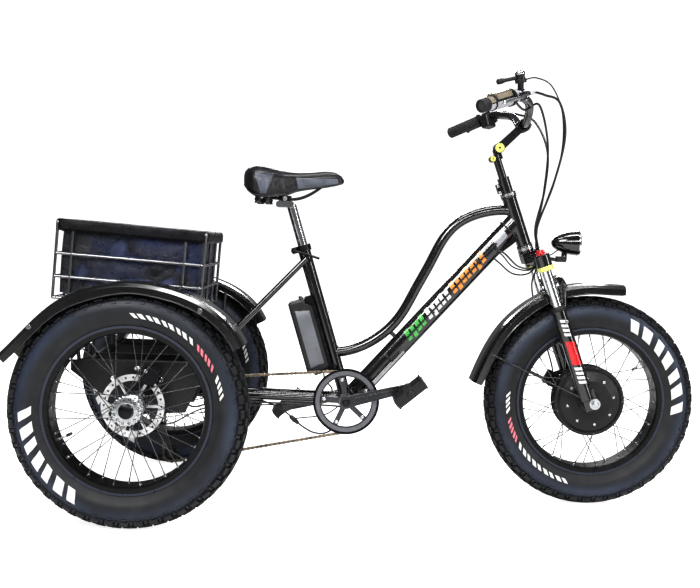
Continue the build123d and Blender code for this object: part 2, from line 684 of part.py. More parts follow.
def derailleur():
    """Hanger arm, link body, and the two-plate cage that holds both jockey wheels."""
    knuckle = cross_rod(8, 262, -INNER_PLATE_Y + 3 + FIT, -74, 9)
    hanger = plate([(-2, 270), (18, 270), (22, 222), (6, 222)], -98, 7)
    link = plate([(0, 268), (16, 270), (34, 238), (18, 222), (4, 228)], -84, 16)
    gap = (TENSION_PULLEY[0] - GUIDE_PULLEY[0], TENSION_PULLEY[1] - GUIDE_PULLEY[1])
    cage = Circle(9) + Pos(*gap) * Circle(9)
    dx = TENSION_PULLEY[0] - GUIDE_PULLEY[0]
    dz = TENSION_PULLEY[1] - GUIDE_PULLEY[1]
    length = sqrt(dx * dx + dz * dz)
    nx, nz = -dz / length * 7, dx / length * 7
    cage += Polygon((nx, nz), (dx + nx, dz + nz), (dx - nx, dz - nz), (-nx, -nz), align=None)
    plates = [disc(cage, GUIDE_PULLEY, CHAIN_Y + side * 5.0, 2) for side in (-1, 1)]
    pins = [cross_rod(x, z, CHAIN_Y - 6, CHAIN_Y + 6, 3) for x, z in (GUIDE_PULLEY, TENSION_PULLEY)]
    tie = cross_rod(GUIDE_PULLEY[0], GUIDE_PULLEY[1], -90, CHAIN_Y - 5, 6)
    return joined([knuckle, hanger, link, tie, *plates, *pins])


def caliper(centre, rotor_y, angle, side, outboard, inboard, reach):
    """A disc-brake caliper: a block over the rotor's edge with a slot for the disc."""
    block = Box(reach, outboard + inboard, 42)
    slot = Pos(-8, 0, 0) * Box(reach, 3.2, 60)
    body = Pos(0, (outboard - inboard) / 2, 0) * fillet(block.edges(), 4) - slot
    middle = ROTOR_RADIUS - 16 + reach / 2
    if side < 0:
        body = mirrored(body)
    return Pos(centre[0], rotor_y, centre[1]) * Rot(0, -angle, 0) * Pos(middle, 0, 0) * body


def rear_calipers():
    """One caliper at each rear rotor, carried on an arm from the outer axle plate."""
    bodies = []
    for side in (-1, 1):
        rotor_y = side * (HALF_TRACK - ROTOR_OFFSET)
        body = caliper((0, REAR_AXLE_Z), rotor_y, 62, side, 10, 20, 46)
        foot = polar(92, 62, (0, REAR_AXLE_Z))
        arm = cross_rod(foot.X, foot.Z, side * (OUTER_PLATE_Y + 3 + FIT), side * 308, 8)
        bodies.append(joined([body, arm]))
    return group(bodies)


# ---------------------------------------------------------------- fork and front end
def fork_crown():
    """Steerer tube and the forged crown that holds both stanchions."""
    steerer = rod(steer(-110), steer(HEAD_TUBE_HALF + CUP_HEIGHT + 40), STEERER_RADIUS)
    seat_ring = rod(steer(-100), steer(-HEAD_TUBE_HALF - CUP_HEIGHT - 0.3), 21)
    bridge = steer_box(-114, 14, 0, (34, 2 * LEG_Y, 28))
    centre = steer_box(-106, 5, 0, (46, 60, 30))
    sockets = []
    for y in (-LEG_Y, LEG_Y):
        sockets.append(rod(steer(CROWN_LOW, LEG_AHEAD, y), steer(CROWN_HIGH, LEG_AHEAD, y), 22))
    crown = joined([steerer, seat_ring, bridge, centre, *sockets])
    return crown - joined(stanchion_rods(FIT))


def stanchion_rods(extra=0.0):
    """Both inner legs; the crown's sockets are cut with the same rods made slightly larger."""
    rods = []
    for y in (-LEG_Y, LEG_Y):
        foot, head = steer(-345, LEG_AHEAD, y), steer(CROWN_HIGH - 4, LEG_AHEAD, y)
        rods.append(rod(foot, head, STANCHION_RADIUS + extra))
    return rods


def fork_lowers():
    """Both sliding legs with the front arch and the dropouts."""
    pieces = []
    axle_along = (FRONT_AXLE - HEAD_MID).dot(UP)
    axle_ahead = (FRONT_AXLE - HEAD_MID).dot(AHEAD)
    for y in (-LEG_Y, LEG_Y):
        pieces.append(rod(steer(-528, LEG_AHEAD, y), steer(LOWER_TOP, LEG_AHEAD, y), LOWER_RADIUS))
        pieces.append(steer_box(axle_along + 14, axle_ahead - 10, y, (38, 14, 56)))
        shoulder = steer(ARCH_TOP - 14, ARCH_AHEAD - 2, y * 0.82)
        pieces.append(rod(steer(LOWER_TOP - 26, LEG_AHEAD + 8, y), shoulder, 10))
    bends = ((-20, -2, -66), (-5, 0, -40), (0, 0, 0), (-5, 0, 40), (-20, -2, 66))
    pieces.append(bent_rod([steer(ARCH_TOP + drop, ARCH_AHEAD + back, y) for drop, back, y in bends], 10))
    lowers = joined(pieces)
    for y in (-LEG_Y, LEG_Y):
        mouth = steer(LOWER_TOP + 1, LEG_AHEAD, y)
        lowers -= rod(steer(-400, LEG_AHEAD, y), mouth, STANCHION_RADIUS + RUNNING)
        lowers -= rod(mouth, steer(ARCH_TOP + 40, LEG_AHEAD, y), STANCHION_RADIUS + ARCH_CLEARANCE)
    lowers -= front_axle()
    return lowers


def front_fender():
    """The front fender, with a pair of thin stays down to the dropouts."""
    sheet = fender(FRONT_FENDER_ARC, FRONT_FENDER_HALF_WIDTH, (WHEELBASE, WHEEL_RADIUS), 0)
    stays = []
    for side in (-1, 1):
        tip = polar(316, 156, (WHEELBASE, WHEEL_RADIUS), side * (FRONT_FENDER_HALF_WIDTH - 1))
        foot = Vector(WHEELBASE - 27, side * 90, WHEEL_RADIUS + 12)
        stays.append(rod(tip, foot, 2.5))
    bracket = rod((1118, 0, 607), steer(ARCH_TOP, ARCH_AHEAD, 0), 5)
    return joined([sheet, *stays, bracket]) - fork_lowers()


def front_caliper():
    """The front caliper, behind the left leg, with its mounting arm."""
    centre = (WHEELBASE, WHEEL_RADIUS)
    body = caliper(centre, FRONT_ROTOR_Y, 152, 1, 20, 5, 62)
    elbow = polar(118, 152, centre)
    arm = rod((elbow.X, 64, elbow.Z), steer(-462, LEG_AHEAD, LEG_Y - 8), 7)
    return joined([body, arm]) - fork_lowers()


def stem_riser():
    """The lower stem: a tube over the steerer and the centre knuckle of the pivot."""
    base = HEAD_TUBE_HALF + CUP_HEIGHT + 0.3
    tube = rod(steer(base + 30), steer(196), RISER_RADIUS)
    collar = rod(steer(base), steer(base + 44), 16.8)
    lug = steer_box(base + 18, -19, 0, (14, 20, 26))
    knuckle = cross_rod(STEM_PIVOT.X, STEM_PIVOT.Z, -9, 9, 14.5)
    web = steer_box(196, 6, 0, (20, 18, 30))
    place = lock_screw_place()
    boss = cross_rod(place.X, place.Z, -13.4, 13.4, 9)
    riser = joined([tube, collar, lug, knuckle, web, boss])
    riser -= rod(steer(base - 1), steer(HEAD_TUBE_HALF + CUP_HEIGHT + 40.1), STEERER_RADIUS + FIT)
    riser -= cross_rod(STEM_PIVOT.X, STEM_PIVOT.Z, -30, 30, 7 + FIT)
    return riser - stem_set_screw(FIT)


def lock_screw_place():
    """The angle-lock screw's middle, behind and below the pivot."""
    return steer(188, -12.5)


def stem_set_screw(extra=0.0):
    """The small angle-lock screw below the pivot."""
    place = lock_screw_place()
    return cross_rod(place.X, place.Z, -16.4, 16.4, 5 + extra)


def stem_bolts():
    """The large pivot bolt with its round caps, and the angle-lock screw."""
    x, z = STEM_PIVOT.X, STEM_PIVOT.Z
    shaft = cross_rod(x, z, -20, 20, 7)
    caps = [cross_rod(x, z, side * 17.3, side * 21, 12.8) for side in (-1, 1)]
    place = lock_screw_place()
    small_caps = [cross_rod(place.X, place.Z, side * 13.6, side * 17.4, 7.5) for side in (-1, 1)]
    return group([joined([shaft, *caps]), joined([stem_set_screw(), *small_caps])])


def stem_arm():
    """The upper stem: two ears on the pivot, a tapered arm and the handlebar clamp."""
    span = BAR_CLAMP - STEM_PIVOT
    length = span.length
    lean = atan2(span.Z, span.X) * 180 / pi
    half = STEM_HALF_HEIGHT
    shank = Polygon((0, half + 1), (length, half), (length, -half), (0, -half - 1), align=None)
    outline = Circle(14.5) + Pos(length, 0) * Circle(BAR_CLAMP_RADIUS) + shank
    arm = disc(Rot(0, 0, lean) * outline, (STEM_PIVOT.X, STEM_PIVOT.Z), 0, 34)
    clamp = cross_rod(BAR_CLAMP.X, BAR_CLAMP.Z, -23, 23, BAR_CLAMP_RADIUS)
    arm = joined([arm, clamp])
    arm -= cross_rod(STEM_PIVOT.X, STEM_PIVOT.Z, -9.2, 9.2, 15.6)
    arm -= cross_rod(STEM_PIVOT.X, STEM_PIVOT.Z, -30, 30, 7 + RUNNING)
    return arm - bar_path_rod(FIT)


def bar_side(point, side):
    """A right-hand point, mirrored for the left when side is 1."""
    return Vector(point.X, point.Y * -side, point.Z)


def bar_path_rod(extra=0.0):
    """The handlebar as a solid: risers each side of the clamp, sweeping back to the grips."""
    right = [GRIP_ROOT, Vector(974, -187, 1117), Vector(1003, -133, 1108), Vector(1012, -80, 1084),
             Vector(1014, -34, 1067)]
    left = [Vector(p.X, -p.Y, p.Z) for p in reversed(right)]
    grip = (GRIP_ROOT - GRIP_END).normalized()
    path = Spline(*right, BAR_CLAMP, *left, tangents=[grip, Vector(-grip.X, grip.Y, -grip.Z)])
    bend = sweep(Plane(origin=path @ 0, z_dir=path % 0) * Circle(BAR_RADIUS + extra), path=path)
    ends = [rod(bar_side(GRIP_ROOT, side), bar_side(GRIP_END, side), BAR_RADIUS + extra) for side in (-1, 1)]
    return joined([bend, *ends])


def handlebar():
    """The swept-back cruiser bar."""
    return bar_path_rod()


def on_bar(along, side, forward=0.0, up=0.0):
    """A point beside the grip: distance out from the grip's root, forward of the bar and up."""
    out = (GRIP_END - GRIP_ROOT).normalized()
    front = Vector(-out.Y, out.X, 0).normalized() * -1
    front = front if front.X > 0 else front * -1
    lift = front.cross(out)
    lift = lift if lift.Z > 0 else lift * -1
    return bar_side(GRIP_ROOT + out * along + front * forward + lift * up, side)


def left_grip():
    """The rubber grip on the left end of the bar."""
    return pipe(on_bar(4, 1), on_bar(122, 1), 16, BAR_RADIUS + FIT)


def throttle_grip():
    """The twist throttle on the right end of the bar."""
    return pipe(on_bar(75, -1), on_bar(122, -1), 17, BAR_RADIUS + RUNNING)


def throttle_display():
    """The fixed throttle housing with the charge display, inboard of the twist grip."""
    barrel = pipe(on_bar(0, -1), on_bar(74.5, -1), 18.5, BAR_RADIUS + FIT)
    ring = pipe(on_bar(-8, -1), on_bar(0, -1), 22, BAR_RADIUS + 6)
    axis = on_bar(74.5, -1) - on_bar(0, -1)
    lid_middle = on_bar(38, -1, 0, 14)
    upward = on_bar(38, -1, 0, 15) - lid_middle
    lid = Plane(origin=lid_middle, z_dir=axis, x_dir=upward) * Box(14, 30, 56)
    return joined([barrel, ring, lid]) - pipe(on_bar(-40, -1), on_bar(90, -1), BAR_RADIUS + FIT, 0.001)


def control_mounts():
    """Brake-lever brackets on both sides of the bar and the left control box."""
    bodies = []
    for side in (-1, 1):
        ring = rod(on_bar(-34, side), on_bar(-12, side), 16)
        block = rod(on_bar(-30, side, 10), on_bar(-24, side, 34), 8)
        ears = [rod(on_bar(-24, side, 36, lift), on_bar(-24, side, 36, lift + 5), 9) for lift in (-10, 5)]
        barrel = rod(on_bar(-30, side, 22, 0), on_bar(-58, side, 30, 2), 5)
        bracket = joined([ring, block, *ears, barrel])
        if side > 0:
            axis = on_bar(-4, side) - on_bar(-40, side)
            box = Plane(origin=on_bar(-23, side, -2, -14), z_dir=axis) * Box(40, 40, 30)
            bracket = joined([bracket, fillet(box.edges(), 6)])
        bracket -= lever_slot(side)
        bodies.append(bracket)
    return group(bodies) - bar_path_rod(FIT)


def lever_slot(side):
    """The gap between a bracket's ears that the lever turns in."""
    return rod(on_bar(-24, side, 36, -5.0), on_bar(-24, side, 36, 5.0), 13)


def brake_lever(side):
    """A brake lever: an eye on its pivot pin and a blade curving out along the grip."""
    eye = rod(on_bar(-24, side, 36, -4.6), on_bar(-24, side, 36, 4.6), 8)
    bends = ((-22, 38), (10, 45), (50, 46), (88, 50))
    blade = bent_rod([on_bar(along, side, forward) for along, forward in bends], 4.4)
    tip = Pos(*on_bar(88, side, 50)) * Sphere(5.5)
    return joined([eye, blade, tip])


def shifter_pod():
    """The thumb-shifter body, on a clamp above the right side of the bar."""
    ring = rod(on_bar(-58, -1), on_bar(-46, -1), 16)
    post = rod(on_bar(-52, -1, 2, 12), on_bar(-52, -1, 6, 34), 8)
    body = rod(on_bar(-52, -1, 6, 30), on_bar(-52, -1, 6, 41), 15)
    pivot = rod(on_bar(-52, -1, 6, 40), on_bar(-52, -1, 6, 50), 4)
    cap = rod(on_bar(-52, -1, 6, 48.3), on_bar(-52, -1, 6, 54), 13)
    pod = joined([ring, post, body, pivot, cap])
    return pod - bar_path_rod(FIT) - rod(on_bar(-75, -1), on_bar(-36, -1), BAR_RADIUS + 0.5)


def shift_lever():
    """The thumb lever: an eye between the pod's body and its cap, and a paddle."""
    eye = rod(on_bar(-52, -1, 6, 41.3), on_bar(-52, -1, 6, 48), 12)
    arm = rod(on_bar(-43, -1, 2, 44.6), on_bar(-4, -1, -14, 44.6), 3.2)
    paddle = rod(on_bar(-6, -1, -13, 44.6), on_bar(12, -1, -20, 44.6), 6)
    bore = rod(on_bar(-52, -1, 6, 38), on_bar(-52, -1, 6, 52), 4 + RUNNING)
    return joined([eye, arm, paddle]) - bore


def headlight_bracket():
    """The arm from the crown to the lamp's pivot, ending in two ears."""
    foot = steer(-114, 30)
    arm = rod(foot, (LIGHT_PIVOT.X - 16, 0, LIGHT_PIVOT.Z - 8), 5)
    yoke = Pos(LIGHT_PIVOT.X - 9, 0, LIGHT_PIVOT.Z - 5) * Box(26, 22, 16)
    slot = Pos(LIGHT_PIVOT.X, 0, LIGHT_PIVOT.Z) * Box(34, 10.4, 24)
    pin = cross_rod(LIGHT_PIVOT.X, LIGHT_PIVOT.Z, -12, 12, 3)
    return joined([joined([arm, yoke]) - slot, pin]) - fork_crown()


def headlight_shell():
    """A bullet-shaped lamp body with a tab down to its pivot."""
    length = 66
    side = Spline((-42, 0), (-38, 10.5), (-20, 23), (8, 32), (33, LIGHT_RADIUS))
    closing = Polyline((33, LIGHT_RADIUS), (33, 0), (-42, 0))
    body = revolve(make_face([side, closing]), axis=Axis.X)
    cavity = Pos(20, 0, 0) * Rot(0, 90, 0) * Cylinder(LIGHT_RADIUS - 4, length - 40)
    shell = Pos(*LIGHT_CENTRE) * (body - cavity)
    tab = Pos(LIGHT_PIVOT.X, 0, LIGHT_PIVOT.Z + 5) * Box(14, 10, 26)
    bore = cross_rod(LIGHT_PIVOT.X, LIGHT_PIVOT.Z, -20, 20, 3 + RUNNING)
    return joined([shell, tab]) - bore


def headlight_lens():
    """The domed clear lens in the front of the lamp."""
    dome = Spline((34, 31), (40, 18), (42, 0))
    closing = Polyline((42, 0), (33.1, 0), (33.1, 31), (34, 31))
    return Pos(*LIGHT_CENTRE) * revolve(make_face([dome, closing]), axis=Axis.X)


# ---------------------------------------------------------------- seat
SADDLE_SIDE = (
    (238, 882), (240, 908), (256, 926), (276, 931), (305, 927), (347, 917), (400, 914), (450, 918),
    (484, 920), (505, 909), (516, 892), (478, 876), (404, 863), (380, 862), (330, 858), (277, 846),
    (252, 856),
)
SADDLE_TOP = (
    (236, 40), (244, 78), (270, 100), (300, 94), (340, 62), (380, 40), (430, 28), (480, 22),
    (508, 14), (518, 0),
)


def saddle():
    """The padded saddle: its side outline crossed with its plan outline."""
    side = extrude(Plane.XZ * Polygon(*SADDLE_SIDE, align=None), 120, both=True)
    left = list(SADDLE_TOP)
    right = [(x, -y) for x, y in reversed(left[:-1])]
    plan = Pos(0, 0, 880) * extrude(Polygon(*left, *right, align=None), 80, both=True)
    return (side & plan) - joined(rail_rods(FIT))


def rail_rods(extra=0.0):
    """The two bent rails under the saddle."""
    rods = []
    for y in (-22, 22):
        points = [(262, y, 862), (290, y, 845), (330, y, 840), (385, y, 840)]
        points += [(440, y * 0.8, 866), (462, y * 0.5, 884)]
        rods.append(bent_rod(points, 3.5 + extra))
    return rods


def saddle_rails():
    """Rails with the clamp that grips them on the seatpost's head."""
    clamp = Pos(352, 0, 840) * Box(34, 58, 15)
    return joined([clamp, *rail_rods()])


def seatpost():
    """The straight post and its set-back head."""
    top = (822 - BB.Z) / SEAT_UP.Z
    post = rod(seat(250), seat(top), SEATPOST_RADIUS)
    head = Pos(352, 0, 824) * Box(50, 34, 16.9)
    return joined([post, fillet(head.edges().filter_by(Axis.Y), 6)])


# ---------------------------------------------------------------- write the parts
def all_parts():
    parts = {
        "main_frame": main_frame(),
        "rear_subframe": rear_subframe(),
        "frame_bearings": frame_bearings(),
        "seat_collar": seat_collar(),
        "rear_fenders": group([rear_fender(-1), rear_fender(1)]),
        "fender_bolts": fender_bolts(),
        "cargo_basket": cargo_basket(),
        "basket_bag": basket_bag(),
        "battery_mount": battery_mount(),
        "battery_case": battery_case(),
        "rear_calipers": rear_calipers(),
        "derailleur": derailleur(),
        "guide_pulley": pulley(GUIDE_PULLEY),
        "tension_pulley": pulley(TENSION_PULLEY),
        "chain": chain(),
        "chainring": chainring(),
        "right_crank": crank_arm(-1),
        "left_crank": crank_arm(1),
        "right_pedal": pedal(-1),
        "left_pedal": pedal(1),
        "rear_axle": rear_axle(),
        "freewheel": freewheel(),
        "front_tyre": tyre(WHEELBASE, 0),
        "front_rim": rim(WHEELBASE, 0),
        "front_spokes": spokes(WHEELBASE, MOTOR_RADIUS + 4, (-24, 24), (-12, 12)),
        "hub_motor": hub_motor(),
        "front_rotor": rotor(WHEELBASE, FRONT_ROTOR_Y),
        "front_axle": front_axle(),
        "fork_crown": fork_crown(),
        "stanchions": group(stanchion_rods()),
        "fork_lowers": fork_lowers(),
        "front_fender": front_fender(),
        "front_caliper": front_caliper(),
        "stem_riser": stem_riser(),
        "stem_bolts": stem_bolts(),
        "stem_arm": stem_arm(),
        "handlebar": handlebar(),
        "left_grip": left_grip(),
        "throttle_grip": throttle_grip(),
        "control_mounts": group([control_mounts(), throttle_display(), shifter_pod()]),
        "right_brake_lever": brake_lever(-1),
        "left_brake_lever": brake_lever(1),
        "shift_lever": shift_lever(),
        "headlight_bracket": headlight_bracket(),
        "headlight_shell": headlight_shell(),
        "headlight_lens": headlight_lens(),
        "seatpost": seatpost(),
        "saddle_rails": saddle_rails(),
        "saddle": saddle(),
        "seat_lever": seat_lever(),
    }
    for name, side in (("right", -1), ("left", 1)):
        for piece, shape in rear_wheel_parts(side).items():
            parts[f"{name}_{piece}"] = shape
    return parts


for node, shape in all_parts().items():
    export_step(Pos(-ORIGIN_X, 0, 0) * shape, f"parts/{node}.step")
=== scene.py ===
import json
import random
from math import asin, atan2, cos, pi, radians, sin

import bmesh
import bpy
from mathutils import Matrix, Vector

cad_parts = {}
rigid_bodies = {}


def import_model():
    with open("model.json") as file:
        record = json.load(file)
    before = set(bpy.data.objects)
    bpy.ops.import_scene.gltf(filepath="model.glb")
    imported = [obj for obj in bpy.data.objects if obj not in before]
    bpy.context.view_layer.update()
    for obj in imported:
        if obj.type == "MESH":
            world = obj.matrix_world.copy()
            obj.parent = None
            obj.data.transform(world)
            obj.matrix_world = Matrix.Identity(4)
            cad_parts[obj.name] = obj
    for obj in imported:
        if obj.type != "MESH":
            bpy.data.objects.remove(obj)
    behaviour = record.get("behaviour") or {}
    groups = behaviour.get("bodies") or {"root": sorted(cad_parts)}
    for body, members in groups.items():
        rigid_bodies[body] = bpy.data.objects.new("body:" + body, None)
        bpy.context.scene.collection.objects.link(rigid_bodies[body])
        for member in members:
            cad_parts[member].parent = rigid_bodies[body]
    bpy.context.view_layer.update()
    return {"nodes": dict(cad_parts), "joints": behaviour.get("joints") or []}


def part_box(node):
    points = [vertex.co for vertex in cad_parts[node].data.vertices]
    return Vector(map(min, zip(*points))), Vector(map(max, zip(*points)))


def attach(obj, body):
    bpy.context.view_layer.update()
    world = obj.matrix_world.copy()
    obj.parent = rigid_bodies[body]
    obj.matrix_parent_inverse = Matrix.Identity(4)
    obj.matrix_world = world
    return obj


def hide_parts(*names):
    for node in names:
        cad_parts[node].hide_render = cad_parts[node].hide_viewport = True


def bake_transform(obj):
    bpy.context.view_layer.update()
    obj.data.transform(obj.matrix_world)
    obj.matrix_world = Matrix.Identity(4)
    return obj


for leftover in list(bpy.data.objects):
    bpy.data.objects.remove(leftover)
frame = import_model()

# Looks for a fat-tyre electric adult tricycle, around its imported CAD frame.
# Lengths below are millimetres; at() turns them into the row frame, which is in metres.

MM = 0.001
JOINTS = {j["name"]: j for j in frame["joints"]}


# ---------------------------------------------------------------- places, from the frame
def middle(node):
    """The middle of a CAD node's box, in metres."""
    low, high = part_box(node)
    return (Vector(low) + Vector(high)) / 2


REAR_AXLE = middle("right_tyre")
FRONT_AXLE = middle("front_tyre")
REAR_MIDDLE = Vector((REAR_AXLE.x, 0, REAR_AXLE.z))
STEER_POINT = Vector(JOINTS["steering"]["pos_m"])
UP = Vector(JOINTS["steering"]["axis"])
AHEAD = Vector((UP.z, 0, -UP.x))
SEAT_UP = Vector(JOINTS["seat_height"]["axis"])
BEHIND = Vector((-SEAT_UP.z, 0, SEAT_UP.x))
BB = Vector(JOINTS["crank_spin"]["pos_m"])
OUT = -Vector(JOINTS["throttle_twist"]["axis"])
GRIP_ROOT = Vector(JOINTS["throttle_twist"]["pos_m"]) - OUT * 60 * MM
BAR_FRONT = Vector((-OUT.y, OUT.x, 0)).normalized()
if BAR_FRONT.x < 0:
    BAR_FRONT = -BAR_FRONT
BAR_UP = BAR_FRONT.cross(OUT)
if BAR_UP.z < 0:
    BAR_UP = -BAR_UP
ACROSS = Vector((0, 1, 0))


def at(x, y, z):
    """A point from the ground below the rear axle: forward, to the left and up."""
    return Vector((REAR_AXLE.x + x * MM, y * MM, z * MM))


def places(*triples):
    """A list of points from their distances, each as at() takes them."""
    return [at(*triple) for triple in triples]


def steer(along, ahead=0.0, side=0.0):
    """A point along the steering axis from the middle of the head tube, ahead of it and to its left."""
    return STEER_POINT + (UP * along + AHEAD * ahead + ACROSS * side) * MM


LEG_AHEAD, LEG_SIDE = 22, 80        # each fork leg's axis, ahead of the steering axis and beside it


def leg_axis(along, side):
    """A point on the axis of one fork leg; side -1 is the right."""
    return steer(along, LEG_AHEAD, side * LEG_SIDE)


def seat(along, behind=0.0, side=0.0):
    """A point up the seat tube from the bottom bracket, behind its axis and to its left."""
    return BB + (SEAT_UP * along + BEHIND * behind + ACROSS * side) * MM


def on_bar(along, side, forward=0.0, up=0.0):
    """A point beside a grip: out from the grip's root, forward of the bar and up; side -1 is the right."""
    p = GRIP_ROOT + (OUT * along + BAR_FRONT * forward + BAR_UP * up) * MM
    return Vector((p.x, -side * p.y, p.z))


BASKET_TOP = (-40, 742)
BASKET_TILT = radians(3.4)
BASKET_HALF = (195.0, 176.0)


def basket(x, y, z):
    """A point in the basket's own frame, whose origin is the middle of its top rail."""
    along = x * cos(BASKET_TILT) + z * sin(BASKET_TILT)
    height = z * cos(BASKET_TILT) - x * sin(BASKET_TILT)
    return at(BASKET_TOP[0] + along, y, BASKET_TOP[1] + height)


def around(centre, radius, angle, y=0.0):
    """A point on a circle about an axle, angle in degrees from forward, y from the circle's centre."""
    a = radians(angle)
    return centre + Vector((cos(a) * radius, y, sin(a) * radius)) * MM


# ---------------------------------------------------------------- mesh building
class Shape:
    """Points and faces gathered for one piece, with a paint number for each face."""

    def __init__(self):
        self.points = []
        self.faces = []
        self.paint = []

    def rows(self, rows, paint=0, loop=True, ring=False, caps=False):
        """Quads between rows of points. loop closes each row, ring joins the last row to the first."""
        first = len(self.points)
        count = len(rows[0])
        for row in rows:
            self.points.extend(row)
        for i in range(len(rows) if ring else len(rows) - 1):
            a = first + i * count
            b = first + (i + 1) % len(rows) * count
            for j in range(count if loop else count - 1):
                k = (j + 1) % count
                self.faces.append((a + j, a + k, b + k, b + j))
                self.paint.append(paint)
        if caps:
            last = first + (len(rows) - 1) * count
            self.faces.append(tuple(range(first + count - 1, first - 1, -1)))
            self.faces.append(tuple(range(last, last + count)))
            self.paint += [paint, paint]

    def tube(self, path, radius, sides=8, paint=0, flat=1.0, closed=False):
        """A bar along a path; radius is one number or one per point, flat squeezes its second axis."""
        radii = radius if isinstance(radius, list) else [radius] * len(path)
        rows = []
        for (point, side, up), r in zip(axes_along(path, closed), radii):
            row = []
            for i in range(sides):
                a = 2 * pi * i / sides
                row.append(point + (side * cos(a) + up * sin(a) * flat) * r * MM)
            rows.append(row)
        self.rows(rows, paint, ring=closed, caps=not closed)

    def stack(self, profile, origin, axis, sides=24, paint=0, teeth=0, bite=0.0):
        """A turned solid: (distance along axis, radius) pairs; teeth makes its edge wavy."""
        axis, side, up = cross_axes(axis)
        rows = []
        for along, radius in profile:
            row = []
            for i in range(sides):
                a = 2 * pi * i / sides
                r = radius + (bite * cos(a * teeth) if teeth else 0)
                row.append(origin + (axis * along + (side * cos(a) + up * sin(a)) * r) * MM)
            rows.append(row)
        self.rows(rows, paint, caps=True)

    def ring(self, section, origin, axis, sides=64, paint=0):
        """A turned ring: a closed section of (distance along axis, radius) pairs."""
        axis, side, up = cross_axes(axis)
        rows = []
        for i in range(sides):
            a = 2 * pi * i / sides
            spoke = side * cos(a) + up * sin(a)
            rows.append([origin + (axis * along + spoke * r) * MM for along, r in section])
        self.rows(rows, paint, ring=True)

    def prism(self, outline, u, v, origin, depth, paint=0):
        """A flat outline in the u, v axes, given thickness by a depth vector centred on it."""
        row = [origin + (u * a + v * b) * MM for a, b in outline]
        self.rows([[p - depth / 2 for p in row], [p + depth / 2 for p in row]], paint, caps=True)

    def pad(self, surface, corners, low, high, paint=0, steps=(1, 1), taper=0.0):
        """A closed pad on a surface; surface(u, v, height) gives a point, corners are (u, v) pairs."""
        nu, nv = steps
        (u0, v0), (u1, v1), (u2, v2), (u3, v3) = corners
        mid_u = (u0 + u1 + u2 + u3) / 4
        mid_v = (v0 + v1 + v2 + v3) / 4

        def grid(height, shrink):
            points = []
            for i in range(nu + 1):
                s = i / nu
                for j in range(nv + 1):
                    t = j / nv
                    u = (u0 * (1 - s) + u1 * s) * (1 - t) + (u3 * (1 - s) + u2 * s) * t
                    v = (v0 * (1 - s) + v1 * s) * (1 - t) + (v3 * (1 - s) + v2 * s) * t
                    u += (mid_u - u) * shrink
                    v += (mid_v - v) * shrink
                    points.append(surface(u, v, height))
            return points

        first = len(self.points)
        size = (nu + 1) * (nv + 1)
        self.points += grid(low, 0) + grid(high, taper)

        def place(i, j, top):
            return first + top * size + i * (nv + 1) + j

        for i in range(nu):
            for j in range(nv):
                square = [(i, j), (i + 1, j), (i + 1, j + 1), (i, j + 1)]
                self.faces.append(tuple(place(a, b, 1) for a, b in square))
                self.faces.append(tuple(place(a, b, 0) for a, b in reversed(square)))
        rim = [(i, 0) for i in range(nu)] + [(nu, j) for j in range(nv)]
        rim += [(i, nv) for i in range(nu, 0, -1)] + [(0, j) for j in range(nv, 0, -1)]
        for (a, b), (c, d) in zip(rim, rim[1:] + rim[:1]):
            self.faces.append((place(a, b, 0), place(c, d, 0), place(c, d, 1), place(a, b, 1)))
        self.paint += [paint] * (len(self.faces) - len(self.paint))

    def object(self, name, paints, crease=35, bevel=0.0):
        """The Blender object, with outward normals, soft shading and an optional bevel."""
        mesh = bpy.data.meshes.new(name)
        mesh.from_pydata([tuple(p) for p in self.points], [], self.faces)
        for paint in paints:
            mesh.materials.append(paint)
        mesh.polygons.foreach_set("material_index", self.paint)
        work = bmesh.new()
        work.from_mesh(mesh)
        bmesh.ops.recalc_face_normals(work, faces=work.faces)
        work.to_mesh(mesh)
        work.free()
        mesh.shade_smooth()
        mesh.set_sharp_from_angle(angle=radians(crease))
        obj = bpy.data.objects.new(name, mesh)
        bpy.context.scene.collection.objects.link(obj)
        if bevel:
            soften(obj, bevel, 2, 50)
        return obj

    def piece(self, name, body, paints, replaces=(), crease=35, bevel=0.0):
        """The object, riding on one CAD body."""
        obj = self.object(name, paints, crease, bevel)
        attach(obj, body)
        if replaces:
            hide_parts(*replaces)
        return obj


def soften(obj, width, segments, angle):
    """Bevels the edges that turn by more than an angle."""
    bevel = obj.modifiers.new("soften", "BEVEL")
    bevel.width = width * MM
    bevel.segments = segments
    bevel.limit_method = "ANGLE"
    bevel.angle_limit = radians(angle)


def cross_axes(axis):
    """A unit axis with two directions square to it."""
    axis = axis.normalized()
    side = axis.orthogonal().normalized()
    return axis, side, axis.cross(side)


def axes_along(path, closed=False):
    """Each point of a path with two cross axes that turn as little as they can."""
    count = len(path)
    result = []
    side = None
    for i, point in enumerate(path):
        if closed:
            tangent = (path[(i + 1) % count] - path[i - 1]).normalized()
        else:
            tangent = (path[min(i + 1, count - 1)] - path[max(i - 1, 0)]).normalized()
        if side is None:
            side = tangent.orthogonal()
        side = (side - tangent * side.dot(tangent)).normalized()
        result.append((point, side, tangent.cross(side)))
    return result


def smooth(points, steps=8):
    """A finer path through the points."""
    result = []
    for i in range(len(points) - 1):
        p0 = points[max(i - 1, 0)]
        p1, p2 = points[i], points[i + 1]
        p3 = points[min(i + 2, len(points) - 1)]
        for k in range(steps):
            t = k / steps
            bend = (p1 * 2 + (p2 - p0) * t + (p0 * 2 - p1 * 5 + p2 * 4 - p3) * t * t
                    + (p1 * 3 - p0 - p2 * 3 + p3) * t ** 3)
            result.append(bend / 2)
    result.append(points[-1])
    return result


